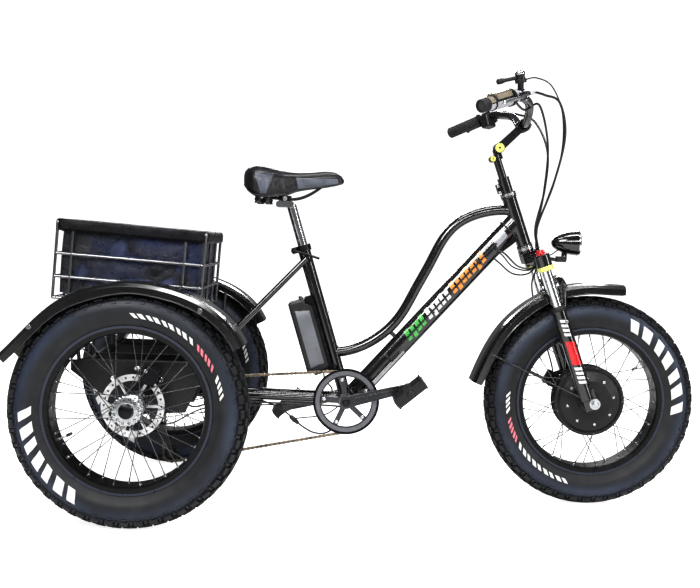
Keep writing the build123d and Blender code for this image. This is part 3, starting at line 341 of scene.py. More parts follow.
# ---------------------------------------------------------------- materials
class Paint:
    """One material's node tree, with short calls for the nodes it uses."""

    def __init__(self, name):
        self.material = bpy.data.materials.new(name)
        self.material.use_nodes = True
        self.tree = self.material.node_tree
        self.shader = self.tree.nodes["Principled BSDF"]
        self.coord = self.tree.nodes.new("ShaderNodeTexCoord").outputs["Object"]

    def node(self, kind, **values):
        made = self.tree.nodes.new("ShaderNode" + kind)
        for key, value in values.items():
            if hasattr(made, key):
                setattr(made, key, value)
            else:
                made.inputs[key.replace("_", " ").title()].default_value = value
        return made

    def link(self, a, b):
        self.tree.links.new(a, b)

    def stretched(self, factors):
        scale = self.node("Mapping")
        scale.inputs["Scale"].default_value = factors
        self.link(self.coord, scale.inputs["Vector"])
        return scale.outputs["Vector"]

    def noise(self, scale, detail=4.0, vector=None):
        made = self.node("TexNoise", scale=scale, detail=detail)
        self.link(vector or self.coord, made.inputs["Vector"])
        return made.outputs["Fac"]

    def ramp(self, value, low, high, to_low=0.0, to_high=1.0):
        made = self.node("MapRange")
        made.inputs["From Min"].default_value = low
        made.inputs["From Max"].default_value = high
        made.inputs["To Min"].default_value = to_low
        made.inputs["To Max"].default_value = to_high
        self.link(value, made.inputs["Value"])
        return made.outputs["Result"]

    def mix(self, share, a, b):
        """Colour a where share is 0 and b where it is 1; each is a colour or a node's output."""
        made = self.node("Mix", data_type="RGBA")
        for socket, value in ((made.inputs[6], a), (made.inputs[7], b)):
            if isinstance(value, tuple):
                socket.default_value = (*value[:3], 1)
            else:
                self.link(value, socket)
        self.link(share, made.inputs[0])
        return made.outputs[2]

    def maths(self, operation, a, b=0.5):
        made = self.node("Math", operation=operation)
        for socket, value in ((made.inputs[0], a), (made.inputs[1], b)):
            if isinstance(value, (int, float)):
                socket.default_value = value
            else:
                self.link(value, socket)
        return made.outputs[0]

    def radius(self, centre):
        """Distance in millimetres from a wheel's axis."""
        parts = self.node("SeparateXYZ")
        self.link(self.coord, parts.inputs[0])
        dx = self.maths("SUBTRACT", parts.outputs[0], centre.x)
        dz = self.maths("SUBTRACT", parts.outputs[2], centre.z)
        squares = self.maths("ADD", self.maths("MULTIPLY", dx, dx), self.maths("MULTIPLY", dz, dz))
        return self.maths("MULTIPLY", self.maths("SQRT", squares), 1000.0)

    def set(self, **values):
        for key, value in values.items():
            socket = self.shader.inputs[key.replace("_", " ")]
            if isinstance(value, (int, float)):
                socket.default_value = value
            elif isinstance(value, tuple):
                socket.default_value = (*value[:3], 1)
            else:
                self.link(value, socket)

    def bump(self, height, strength, distance, normal=None):
        made = self.node("Bump", strength=strength, distance=distance * MM)
        self.link(height, made.inputs["Height"])
        if normal:
            self.link(normal, made.inputs["Normal"])
        self.link(made.outputs[0], self.shader.inputs["Normal"])


def finish(name, colour, rough, metal=0.0, coat=0.0, grain=(900, 0.15, 0.05), vary=0.25, edge=None,
           stretch=None, patch=9.0):
    """A paint, metal or plastic: patchy colour and roughness, fine grain and rubbed edges."""
    p = Paint(name)
    cloud = p.noise(patch, 5)
    tint = tuple(min(1, c * (1 + vary) + 0.002) for c in colour)
    shade = tuple(c * (1 - vary) for c in colour)
    base = p.mix(p.ramp(cloud, 0.35, 0.65), shade, tint)
    smear = p.noise(patch * 14, 3)
    roughness = p.ramp(smear, 0.3, 0.7, rough * 0.8, rough * 1.25)
    rounded = p.node("Bevel", samples=4)
    rounded.inputs["Radius"].default_value = 0.9 * MM
    if edge:
        flat = p.node("NewGeometry").outputs["Normal"]
        dot = p.node("VectorMath", operation="DOT_PRODUCT")
        p.link(rounded.outputs[0], dot.inputs[0])
        p.link(flat, dot.inputs[1])
        rubbed = p.ramp(dot.outputs["Value"], 0.985, 0.93)
        scuff = p.ramp(p.noise(170, 4), 0.45, 0.62, 0.15, 0.85)
        base = p.mix(p.maths("MULTIPLY", rubbed, scuff), base, edge)
    fine = p.noise(grain[0], 2, p.stretched(stretch) if stretch else None)
    p.bump(fine, grain[1], grain[2], rounded.outputs[0])
    p.set(Base_Color=base, Roughness=roughness, Metallic=metal, Coat_Weight=coat, Coat_Roughness=0.08)
    return p.material


def tyre_rubber(name, centre):
    """Black rubber with dusty tread, and a smoother band round the sidewall painted with a patchy blue-grey
    sheen.
    """
    p = Paint(name)
    radius = p.radius(centre)
    band = p.maths("MULTIPLY", p.ramp(radius, 236, 256), p.ramp(radius, 277, 264))
    dust = p.ramp(p.noise(26, 6), 0.45, 0.75)
    black = p.mix(dust, (0.004, 0.0045, 0.006), (0.014, 0.014, 0.016))
    # Painted sheen: inside the band the black is lifted to a patchy blue-grey.
    painted_sheen = p.mix(p.ramp(p.noise(5, 4), 0.35, 0.65), (0.004, 0.006, 0.014), (0.026, 0.036, 0.062))
    p.set(Base_Color=p.mix(band, black, painted_sheen), Roughness=p.ramp(band, 0, 1, 0.55, 0.42))
    rings = p.maths("SINE", p.maths("MULTIPLY", radius, 2.2))
    height = p.maths("ADD", p.maths("MULTIPLY", rings, band), p.noise(650, 4))
    p.bump(height, 0.35, 0.25)
    return p.material


def banded(name, centre, bands, rough=0.35, metal=0.8):
    """A turned part with a different colour inside and outside each radius, inner first."""
    p = Paint(name)
    radius = p.radius(centre)
    colour = bands[0][1]
    for limit, tint in bands[1:]:
        colour = p.mix(p.ramp(radius, limit - 0.4, limit + 0.4), colour, tint)
    lathe_marks = p.maths("SINE", p.maths("MULTIPLY", radius, 9.0))
    polish = p.ramp(p.noise(60, 4), 0.3, 0.7, rough * 0.7, rough * 1.3)
    p.set(Base_Color=colour, Metallic=metal, Roughness=polish)
    p.bump(p.maths("ADD", lathe_marks, p.noise(900, 3)), 0.2, 0.05)
    return p.material


def nylon(name, dark, light, weave=1.1, gloss=0.3):
    """Coated woven nylon: patches of two colours, a painted highlight that makes the cloth paler where it
    faces up, and a fine weave.
    """
    p = Paint(name)
    fold = p.ramp(p.noise(9, 5), 0.42, 0.62)
    facing = p.node("SeparateXYZ")
    p.link(p.node("NewGeometry").outputs["Normal"], facing.inputs[0])
    # Painted highlight: cloth that faces up is mixed toward a pale tint in noisy patches; gloss makes it
    # stronger and also sets the coat.
    upward = p.ramp(facing.outputs[2], 0.05, 0.2)
    lit = p.maths("MULTIPLY", upward, p.ramp(p.noise(30, 4), 0.35, 0.6, 0.3, gloss * 3.3))
    pale = tuple(min(1.0, c * 3 + 0.05) for c in light)
    colour = p.mix(lit, p.mix(fold, dark, light), pale)
    p.set(Base_Color=colour, Roughness=p.ramp(p.noise(40, 4), 0.3, 0.7, 0.2, 0.34))
    p.set(Specular_IOR_Level=0.15 + gloss, Coat_Weight=gloss, Coat_Roughness=0.14)
    count = 2 * pi / (weave * MM)
    parts = p.node("SeparateXYZ")
    p.link(p.coord, parts.inputs[0])
    flat = p.maths("ADD", parts.outputs[0], parts.outputs[1])
    threads = p.maths("MULTIPLY", p.maths("SINE", p.maths("MULTIPLY", flat, count)),
                      p.maths("SINE", p.maths("MULTIPLY", parts.outputs[2], count)))
    creases = p.maths("MULTIPLY", p.noise(38, 6), 16.0)
    p.bump(p.maths("ADD", threads, creases), 0.5, 0.4)
    return p.material


def vinyl(name, dark, light, rough=0.34):
    """Saddle vinyl: pebbled leather grain with a soft sheen."""
    p = Paint(name)
    cells = p.node("TexVoronoi", scale=620.0, feature="DISTANCE_TO_EDGE")
    p.link(p.coord, cells.inputs["Vector"])
    grain = p.ramp(cells.outputs["Distance"], 0.0, 0.12)
    p.set(Base_Color=p.mix(p.ramp(p.noise(22, 5), 0.35, 0.65), dark, light))
    p.set(Roughness=p.ramp(p.noise(90, 4), 0.3, 0.7, rough * 0.85, rough * 1.2), Coat_Weight=0.08)
    p.bump(p.maths("ADD", grain, p.noise(300, 4)), 0.45, 0.12)
    return p.material


def rotor_steel(name):
    """Ground stainless steel with brushed lines."""
    p = Paint(name)
    lines = p.noise(700, 3, p.stretched((1.0, 1.0, 0.12)))
    p.set(Base_Color=p.mix(p.noise(30, 4), (0.74, 0.74, 0.75), (0.92, 0.91, 0.9)), Metallic=0.9)
    p.set(Roughness=p.ramp(lines, 0.3, 0.7, 0.22, 0.4))
    p.bump(lines, 0.25, 0.05)
    return p.material


def clear(name, tint, rough=0.03):
    """Clear moulded plastic or glass with faint ribs."""
    p = Paint(name)
    ribs = p.maths("SINE", p.maths("MULTIPLY", p.noise(60, 2), 40.0))
    p.set(Base_Color=p.mix(p.noise(25, 3), tint, (1.0, 1.0, 1.0)), Roughness=rough)
    p.set(Transmission_Weight=0.9, IOR=1.45)
    p.bump(ribs, 0.12, 0.1)
    return p.material


INK = (0.0035, 0.0035, 0.004)
enamel = finish("gloss_enamel", INK, 0.16, coat=1.0, grain=(160, 0.08, 0.06), edge=(0.05, 0.05, 0.055))
powder = finish("satin_powder", (0.011, 0.011, 0.012), 0.42, grain=(1500, 0.3, 0.06), edge=(0.09, 0.09, 0.09))
basket_wire = finish("basket_gloss", (0.2, 0.2, 0.21), 0.2, metal=0.85, coat=1.0, grain=(300, 0.08, 0.04))
fender_paint = finish("fender_gloss", INK, 0.2, coat=0.8, grain=(120, 0.1, 0.08), edge=(0.08, 0.08, 0.09))
plastic = finish("moulded_plastic", (0.009, 0.009, 0.01), 0.38, grain=(2200, 0.35, 0.05),
                 edge=(0.04, 0.04, 0.042))
case_grey = finish("case_panel", (0.13, 0.135, 0.15), 0.34, grain=(2000, 0.3, 0.05))
chrome = finish("chrome", (0.78, 0.79, 0.8), 0.09, metal=1.0, grain=(300, 0.05, 0.02), vary=0.08)
spoke_metal = finish("spoke_metal", (0.13, 0.13, 0.14), 0.26, metal=0.8, grain=(900, 0.1, 0.03), vary=0.1)
steel = finish("ground_steel", (0.5, 0.5, 0.51), 0.3, metal=1.0, stretch=(1, 0.1, 1), edge=(0.8, 0.8, 0.8))
dark_steel = finish("blued_steel", (0.1, 0.1, 0.11), 0.34, metal=1.0, vary=0.5, edge=(0.5, 0.48, 0.45))
alloy = finish("silver_alloy", (0.62, 0.63, 0.65), 0.26, metal=1.0, grain=(1100, 0.15, 0.03),
               edge=(0.9, 0.9, 0.9))
black_alloy = finish("black_anodised", (0.013, 0.013, 0.015), 0.3, metal=0.7, edge=(0.3, 0.3, 0.3))
gold = finish("gold_anodised", (0.8, 0.78, 0.2), 0.3, metal=0.45, grain=(900, 0.1, 0.03), vary=0.15)
lime = finish("lime_anodised", (0.82, 0.84, 0.22), 0.3, metal=0.3, vary=0.15)
red = finish("red_anodised", (0.62, 0.015, 0.02), 0.3, metal=0.3, coat=0.5, vary=0.2)
rubber = finish("soft_rubber", (0.009, 0.009, 0.01), 0.6, grain=(1300, 0.5, 0.1), vary=0.4)
cable_jacket = finish("cable_jacket", (0.008, 0.008, 0.009), 0.34, grain=(700, 0.15, 0.04))
chain_metal = finish("oiled_chain", (0.2, 0.155, 0.105), 0.36, metal=0.9, vary=0.55,
                     edge=(0.55, 0.5, 0.42), patch=30)
crank_metal = finish("crank_alloy", (0.055, 0.056, 0.06), 0.3, metal=0.85, edge=(0.5, 0.5, 0.5))
motor_paint = finish("motor_black", (0.012, 0.012, 0.013), 0.36, metal=0.3, grain=(420, 0.3, 0.08),
                     edge=(0.2, 0.2, 0.2))
weld_bead = finish("painted_weld", INK, 0.25, coat=0.6, grain=(420, 0.5, 0.25))
thread = finish("thread", (0.03, 0.031, 0.036), 0.7, grain=(2600, 0.5, 0.05))
white_ink = finish("white_print", (0.82, 0.82, 0.8), 0.5, grain=(700, 0.2, 0.04), vary=0.08)
pink_ink = finish("pink_print", (0.75, 0.2, 0.25), 0.5, grain=(700, 0.2, 0.04), vary=0.1)
green_ink = finish("green_print", (0.05, 0.42, 0.06), 0.3, coat=0.6, grain=(300, 0.06, 0.02), vary=0.1)
orange_ink = finish("orange_print", (0.78, 0.27, 0.03), 0.3, coat=0.6, grain=(300, 0.06, 0.02), vary=0.1)
silver_ink = finish("silver_print", (0.42, 0.43, 0.45), 0.3, metal=0.4, coat=0.5, grain=(300, 0.06, 0.02))
mirror_metal = finish("lamp_mirror", (0.85, 0.85, 0.86), 0.06, metal=1.0, grain=(200, 0.1, 0.04), vary=0.05)
screen = finish("screen_glass", (0.01, 0.012, 0.012), 0.06, coat=1.0, grain=(200, 0.02, 0.01))
lens_clear = clear("lens_clear", (0.9, 0.94, 0.98))
reflector_clear = clear("reflector_clear", (0.85, 0.85, 0.85), 0.12)
# Painted reflection: the pedals' clear reflectors get an opaque whitish colour for the light they send back.
reflector_painted_reflection = finish("reflector_painted_reflection", (0.8, 0.8, 0.82), 0.2, coat=1.0, grain=(500, 0.8, 0.6), vary=0.1)
rear_rubber = tyre_rubber("rear_tyre_rubber", REAR_AXLE)
front_rubber = tyre_rubber("front_tyre_rubber", FRONT_AXLE)
RIM_BANDS = ((0, (0.012, 0.012, 0.013)), (203, (0.05, 0.055, 0.075)))
rear_rim_paint = banded("rear_rim_black", REAR_AXLE, RIM_BANDS, 0.34, 0.6)
front_rim_paint = banded("front_rim_black", FRONT_AXLE, RIM_BANDS, 0.34, 0.6)
RING_BANDS = ((0, (0.22, 0.22, 0.23)), (20, (0.07, 0.07, 0.078)), (69.5, (0.03, 0.03, 0.034)),
              (73.5, (0.17, 0.175, 0.19)), (85, (0.006, 0.006, 0.007)))
ring_paint = banded("ring_alloy", BB, RING_BANDS, 0.3, 0.75)
bag_cloth = nylon("bag_nylon", (0.002, 0.0025, 0.006), (0.009, 0.017, 0.06))
hem_cloth = nylon("hem_webbing", (0.002, 0.002, 0.0025), (0.004, 0.004, 0.006), 2.2, 0.0)
saddle_black = vinyl("saddle_black", (0.0035, 0.0035, 0.0045), (0.007, 0.007, 0.009))
saddle_grey = vinyl("saddle_panel", (0.05, 0.058, 0.078), (0.11, 0.12, 0.15), 0.4)
disc_steel = rotor_steel("rotor_steel")
gold_body = finish("champagne_alloy", (0.42, 0.36, 0.27), 0.34, metal=0.5, vary=0.2)
satin = finish("satin_silver", (0.6, 0.6, 0.65), 0.38, metal=0.3, vary=0.2)

CAD_PAINT = {
    "main_frame": enamel, "rear_subframe": powder, "frame_bearings": steel, "seat_collar": black_alloy,
    "rear_fenders": fender_paint, "fender_bolts": chrome, "cargo_basket": basket_wire,
    "battery_mount": black_alloy, "battery_case": plastic, "rear_calipers": black_alloy,
    "derailleur": dark_steel, "guide_pulley": plastic, "tension_pulley": plastic,
    "chainring": ring_paint, "right_crank": crank_metal, "left_crank": crank_metal,
    "right_pedal": plastic, "left_pedal": plastic, "rear_axle": dark_steel, "freewheel": dark_steel,
    "front_rim": front_rim_paint, "hub_motor": motor_paint, "front_rotor": disc_steel,
    "front_axle": alloy, "fork_crown": enamel, "stanchions": chrome, "fork_lowers": enamel,
    "front_fender": fender_paint, "front_caliper": black_alloy, "stem_riser": enamel,
    "stem_bolts": gold, "stem_arm": enamel, "handlebar": enamel, "control_mounts": plastic,
    "shift_lever": plastic, "headlight_bracket": powder, "headlight_shell": enamel,
    "headlight_lens": lens_clear, "seatpost": chrome, "saddle_rails": black_alloy,
    "seat_lever": black_alloy, "right_hub": alloy, "left_hub": alloy, "right_rim": rear_rim_paint,
    "left_rim": rear_rim_paint, "right_rotor": disc_steel, "left_rotor": disc_steel,
}


def paint_cad():
    """Gives every CAD node that is shown its material."""
    for node, paint in CAD_PAINT.items():
        obj = frame["nodes"][node]
        if not obj.material_slots:
            obj.data.materials.append(paint)
        for slot in obj.material_slots:
            slot.material = paint


# ---------------------------------------------------------------- tyres
KNOB_PITCHES = 48
SPOKES = 36
CARCASS = (248.0, 40.0, 48.6)       # centre radius, height above it and half width of the casing
# The inside of the casing: (radius, half width) from the bead to the crown.
CASING_INSIDE = ((205, 36), (205, 30), (216, 35), (240, 43), (262, 42), (276, 32), (283, 16), (283, 0))
# Printed bars: the band's two edges over the casing, their height above it and their slant in degrees.
TALL_BARS = (0.62, 0.93, 0.9, 4.0)
LOW_BARS = (0.78, 0.91, 0.7, 3.0)
# Each group of bars: its kind, its first and last angle, how many bars and their ink.
REAR_BARS = ((TALL_BARS, 178, 243, 7, 1), (LOW_BARS, 46, 88, 9, 1), (LOW_BARS, 26, 44, 5, 2),
             (LOW_BARS, 8, 22, 4, 1))
FRONT_BARS = ((TALL_BARS, -8, 68, 7, 1), (LOW_BARS, 211, 256, 9, 1), (LOW_BARS, 192, 209, 5, 2),
              (LOW_BARS, 174, 188, 4, 1))


def carcass_point(centre, angle, t, height=0.0):
    """A point on the casing: t is 0 at the crown and 1 or -1 near the beads, height is outward."""

    def section(share):
        phi = radians(share * 125)
        w = CARCASS[2] * abs(sin(phi)) ** 0.85 * (1 if phi >= 0 else -1)
        c = cos(phi)
        return CARCASS[0] + CARCASS[1] * abs(c) ** 0.85 * (1 if c >= 0 else -1), w

    r, w = section(t)
    if height:
        r0, w0 = section(t - 0.01)
        r1, w1 = section(t + 0.01)
        along = Vector((r1 - r0, w1 - w0)).normalized()
        r += -along.y * -height
        w += along.x * -height
    return around(centre, r, angle, w)


def tyre(name, node, body, rubber_paint, groups):
    """A casing with four sizes of tread block, side lugs and plain printed bars in place of lettering."""
    centre = middle(node)
    shape = Shape()
    shares = [i / 16 for i in range(-16, 17)]
    inside = list(CASING_INSIDE) + [(r, -w) for r, w in reversed(CASING_INSIDE[:-1])]
    rows = []
    for i in range(144):
        angle = i * 2.5
        row = [carcass_point(centre, angle, t) for t in shares]
        row += [around(centre, r, angle, w) for r, w in inside]
        rows.append(row)
    shape.rows(rows, 0, ring=True)

    def surface(angle, t, height):
        return carcass_point(centre, angle, t, height)

    def block(angle, length, t0, t1, height, skew=0.0):
        a0, a1 = angle - length / 2, angle + length / 2
        corners = [(a0, t0), (a1, t0), (a1 + skew, t1), (a0 + skew, t1)]
        shape.pad(surface, corners, -1.0, height, 0, (1, 1), 0.12)

    pitch = 360 / KNOB_PITCHES
    for i in range(KNOB_PITCHES):
        for side in (-1, 1):
            angle = i * pitch + (pitch / 2 if side > 0 else 0)
            block(angle, 4.7, side * 0.012, side * 0.104, 8.8, 0.8)
            block(angle + pitch / 2, 4.4, side * 0.135, side * 0.245, 8.4, -0.7)
            block(angle, 4.9, side * 0.285, side * (0.46 if i % 2 else 0.42), 7.4)
            block(angle + pitch / 2, 1.8, side * 0.33, side * 0.47, 5.0)
            block(angle, 2.6, side * 0.5, side * 0.56, 2.2)
    for side in (-1, 1):
        for (near, far, height, slant), first, last, count, ink in groups:
            step = (last - first) / count
            for k in range(count):
                start = first + k * step
                end = start + step * (0.68 if k % 2 else 0.56)
                corners = [(start, side * far), (end, side * far), (end + slant, side * near),
                           (start + slant, side * near)]
                shape.pad(surface, corners, -0.4, height, ink, (3, 4))
    paints = [rubber_paint, white_ink, pink_ink]
    soften(shape.piece(name, body, paints, (node,), 40), 0.9, 1, 55)


def rim_details(name, node, body, valve):
    """Nipple seats and, at its angle round the rim, a valve with its cap."""
    centre = middle(node)
    shape = Shape()
    for i in range(SPOKES):
        spot = around(centre, 189.5, i * 10, 12 if i % 2 else -12)
        shape.stack([(-3.5, 3.0), (-1.0, 3.4), (1, 3.4)], spot, spot - centre, 10, 0)
    stem = around(centre, 190, valve)
    inward = centre - stem
    shape.stack([(-2, 4.2), (3, 4.2), (4, 3.0), (24, 3.0), (25, 2.4), (33, 2.4)], stem, inward, 12, 1)
    shape.stack([(22, 3.9), (23, 4.1), (35, 3.8), (37, 2.6)], stem, inward, 12, 2)
    shape.piece(name, body, [alloy, steel, plastic], bevel=0.2)


def laced(name, body, node, centre, flanges, rims, hub_radius, lean):
    """Spokes that cross, with bent heads at the flange and nipples at the rim."""
    shape = Shape()
    for i in range(SPOKES):
        flange = i % 2
        index = i // 2
        hub_angle = index * 20 + flange * 10
        turn = lean if index % 2 else -lean
        y = flanges[flange] + (1.4 if index % 2 else -1.4)
        head = around(centre, hub_radius, hub_angle, y)
        foot = around(centre, 190.5, hub_angle + turn, rims[flange])
        along = (foot - head).normalized()
        shape.tube([head, head + (foot - head) * 0.5, foot], 1.25, 6)
        shape.tube([foot - along * 15 * MM, foot - along * 14 * MM, foot], [1.5, 2.0, 2.0], 6)
        shape.stack([(-2.6, 1.4), (-1.8, 2.3), (1.8, 2.3), (2.6, 1.4)], head, ACROSS, 8)
    shape.piece(name, body, [spoke_metal], (node,))


def wheels():
    """Tyres, spokes and small parts of the three wheels."""
    for name, body, side in (("right", "drive_wheel", -1), ("left", "left_wheel", 1)):
        wheel = middle(name + "_tyre")
        tyre(name + "_fat_tyre", name + "_tyre", body, rear_rubber, REAR_BARS)
        rim_details(name + "_rim_details", name + "_rim", body, 205)
        hub = Vector((wheel.x, 0, wheel.z))
        rims = (wheel.y / MM + side * 12, wheel.y / MM - side * 12)
        flanges = (side * 403.5, side * 337.5)
        laced(name + "_laced_spokes", body, name + "_spokes", hub, flanges, rims, 29, 60)
        hub_trim(name + "_hub_trim", body, hub, side)
        rotor_bolts(name + "_rotor_bolts", body, middle(name + "_rotor"), -side)
    tyre("front_fat_tyre", "front_tyre", "front_wheel", front_rubber, FRONT_BARS)
    rim_details("front_rim_details", "front_rim", "front_wheel", 35)
    laced("front_laced_spokes", "front_wheel", "front_spokes", FRONT_AXLE, (-24, 24), (-12, 12), 94, 20)
    rotor_bolts("front_rotor_bolts", "front_wheel", middle("front_rotor"), 1)
    motor_details()


def hub_trim(name, body, hub, side):
    """The serrated polished flange on the outside of a rear hub, its ring of holes and the end cap."""
    shape = Shape()
    face = around(hub, 0, 0, side * 400.5)
    out = ACROSS * side
    flange = [(0, 34), (0.6, 36.5), (5.2, 36.5), (6.2, 34.5), (6.4, 24), (9, 22)]
    shape.stack(flange, face, out, 144, 0, 24, 1.2)
    for i in range(12):
        spot = around(hub, 29.5, i * 30 + 15, side * 406.6)
        shape.ring([(0, 1.9), (1.0, 2.2), (1.0, 3.4), (0, 3.7)], spot, out, 14, 1)
    shape.stack([(8, 20), (12, 18), (19, 17), (21, 13), (21.5, 4)], face, out, 32, 1)
    shape.piece(name, body, [alloy, black_alloy])


def rotor_bolts(name, body, centre, outward):
    """Six button-head bolts with a socket that hold a brake disc to its hub."""
    shape = Shape()
    for i in range(6):
        spot = around(centre, 26.5, i * 60 + 30, outward * 0.6)
        shape.stack([(0, 4.0), (1.6, 4.0), (2.8, 2.8), (2.9, 1.7), (1.2, 1.7)], spot, ACROSS * outward, 12)
    shape.piece(name, body, [dark_steel])


def motor_details():
    """Cover bolts, a cooling step and the scalloped spoke ring of the hub motor."""
    shape = Shape()
    for side in (-1, 1):
        out = ACROSS * side
        for i in range(8):
            spot = around(FRONT_AXLE, 66, i * 45 + 12, side * 38.6)
            shape.stack([(0, 3.8), (3.0, 3.8), (3.6, 3.0), (3.7, 1.6), (2, 1.6)], spot, out, 12, 1)
        face = around(FRONT_AXLE, 0, 0, side * 23)
        shape.ring([(0, 88), (0, 98), (1.6, 99.5), (3.2, 98), (3.4, 88)], face, out, 108, 0)
        if side < 0:
            collar = around(FRONT_AXLE, 0, 0, side * 42)
            shape.ring([(0, 22), (0, 34), (3, 32), (4, 22)], collar, out, 48, 0)
            shape.ring([(0, 12), (0, 20), (6, 18), (7, 12)], collar, out, 40, 1)
    shape.piece("motor_details", "front_wheel", [motor_paint, alloy])


# ---------------------------------------------------------------- chain and cranks
CHAIN_PITCH = 12.7


def chain_wheels():
    """Each wheel the chain goes round: its centre, its pitch radius and the way it bends the chain."""

    def radius(teeth):
        return CHAIN_PITCH / (2 * sin(pi / teeth))

    return [
        (BB, radius(42), 1), (REAR_AXLE, radius(14), 1),
        (middle("guide_pulley"), radius(11), -1), (middle("tension_pulley"), radius(11), 1),
    ]


def chain_path():
    """Points along the chain's pitch line, round the four sprockets in turn."""
    discs = chain_wheels()
    tangents = []
    for i, (centre, radius, turn) in enumerate(discs):
        target, target_radius, target_turn = discs[(i + 1) % len(discs)]
        gap = (target - centre) / MM
        r1, r2 = turn * radius, target_turn * target_radius
        heading = atan2(gap.z, gap.x) - asin((r2 - r1) / Vector((gap.x, gap.z)).length)
        tangents.append(heading)
    points = []
    for i, (centre, radius, turn) in enumerate(discs):
        start, end = tangents[i - 1], tangents[i]
        sweep = (end - start) * turn % (2 * pi) * turn
        count = max(2, round(abs(sweep) / radians(4)))
        for k in range(count + 1):
            heading = start + sweep * k / count
            points.append(centre + Vector((sin(heading), 0, -cos(heading))) * turn * radius * MM)
    level = middle("chain").y
    return [Vector((p.x, level, p.z)) for p in points]


def even_steps(points, target):
    """Points at an even spacing along a closed path, an even number of them."""
    closed = points + points[:1]
    lengths = [(b - a).length for a, b in zip(closed, closed[1:])]
    total = sum(lengths)
    count = round(total / target / 2) * 2
    result = []
    walked, i = 0.0, 0
    for k in range(count):
        goal = total * k / count
        while walked + lengths[i] < goal:
            walked += lengths[i]
            i += 1
        share = (goal - walked) / lengths[i]
        result.append(closed[i].lerp(closed[i + 1], share))
    return result


def chain():
    """Every link of the chain: waisted plates, rollers and pins."""
    shape = Shape()
    plate_end, waist = 4.0, 2.7
    pins = even_steps(chain_path(), CHAIN_PITCH * MM)
    for i, pin in enumerate(pins):
        ahead = pins[(i + 1) % len(pins)]
        u = (ahead - pin).normalized()
        v = ACROSS.cross(u)
        length = (ahead - pin).length / MM
        outline = []
        for start, shift, waist_side in ((90, 0, -1), (-90, length, 1)):
            for k in range(7):
                a = radians(start + 30 * k)
                outline.append((shift + plate_end * cos(a), plate_end * sin(a)))
            outline.append((length / 2, waist_side * waist))
        offset = 2.95 if i % 2 else 1.95
        for side in (-1, 1):
            origin = pin + ACROSS * side * offset * MM
            shape.prism(outline, u, v, origin, ACROSS * 0.85 * MM, 0)
        shape.stack([(-3.8, 1.5), (-3.6, 1.8), (3.6, 1.8), (3.8, 1.5)], pin, ACROSS, 8, 1)
        shape.stack([(-1.5, 3.7), (1.5, 3.7)], pin, ACROSS, 10, 1)
    shape.piece("roller_chain", "frame", [chain_metal, dark_steel], ("chain",))


def crank_details():
    """Chainring bolts, the crank's dust cap and a machined face line on each arm."""
    shape = Shape()
    ring_face = middle("chainring").y / MM - 2.6
    hub = Vector((BB.x, 0, BB.z))
    groove = [(24, 7), (150, 4.6), (153, 3), (153, -3), (150, -4.6), (24, -7), (21, -4), (21, 4)]
    for i in range(5):
        spot = around(hub, 62, 30 + i * 72, ring_face - 1.5)
        shape.stack([(-1, 5.2), (1.6, 5.2), (2.4, 4.2), (2.5, 2.2), (1.2, 2.2)], spot, -ACROSS, 16, 0)
    for side, angle in ((-1, 14.7), (1, 194.7)):
        out = ACROSS * side
        cap = around(hub, 0, 0, side * 87.5)
        shape.stack([(0, 11), (1.4, 11), (2.2, 9.6), (2.2, 4.6), (0.9, 4.2)], cap, out, 32, 1)
        u = Vector((cos(radians(angle)), 0, sin(radians(angle))))
        v = Vector((-u.z, 0, u.x))
        shape.prism(groove, u, v, around(hub, 0, 0, side * 88.2), out * 0.9 * MM, 2)
        end = around(hub, 175, angle, side * 88)
        shape.stack([(-0.5, 8), (2, 8), (3, 6.5)], end, out, 6, 0)
    shape.piece("crank_details", "crankset", [alloy, black_alloy, crank_metal], bevel=0.3)


def pedal_details(side_name, body, side):
    """Teeth along both cage edges, the reflectors, clear ones drawn opaque and whitish as a painted
    reflection, and the bearing cap of one pedal.
    """
    centre = Vector(JOINTS[side_name + "_pedal_spin"]["pos_m"])
    tilt = radians(40)
    u = Vector((cos(tilt), 0, sin(tilt)))
    v = Vector((-sin(tilt), 0, cos(tilt)))
    mid = centre + ACROSS * (side * 150 * MM - centre.y)
    shape = Shape()
    for edge in (-1, 1):
        for face in (-1, 1):
            for k in range(9):
                y = (k - 4) * 10.2
                spot = mid + (u * edge * 45 + v * face * 13 + ACROSS * y) * MM
                tooth = [(-2.6, 0), (2.6, 0), (1.2, 3.4 * face), (-1.2, 3.4 * face)]
                shape.prism(tooth, u, v, spot, ACROSS * 5 * MM, 0)
        window = [(-37, -7.5), (37, -7.5), (37, 7.5), (-37, 7.5)]
        shape.prism(window, ACROSS, v, mid + u * edge * 48.6 * MM, u * 2.6 * MM, 1)
    shape.stack([(0, 10), (4, 10), (6, 7.5)], mid + ACROSS * side * 47 * MM, ACROSS * side, 20, 0)
    shape.piece(side_name + "_pedal_details", body, [plastic, reflector_painted_reflection], bevel=0.5)


# ---------------------------------------------------------------- frame details
DOWN_FOOT = at(556, 0, 286)
DOWN_HEAD = at(1003, 0, 794)


def down_tube(along, angle, height):
    """A point on the down tube: millimetres along it, degrees round its oval from the left, height above."""
    axis = (DOWN_HEAD - DOWN_FOOT).normalized()
    up = axis.cross(ACROSS)
    up = up if up.z > 0 else -up
    a = radians(angle)
    skin = ACROSS * cos(a) * (20 + height) + up * sin(a) * (29 + height)
    return DOWN_FOOT + axis * along * MM + skin * MM


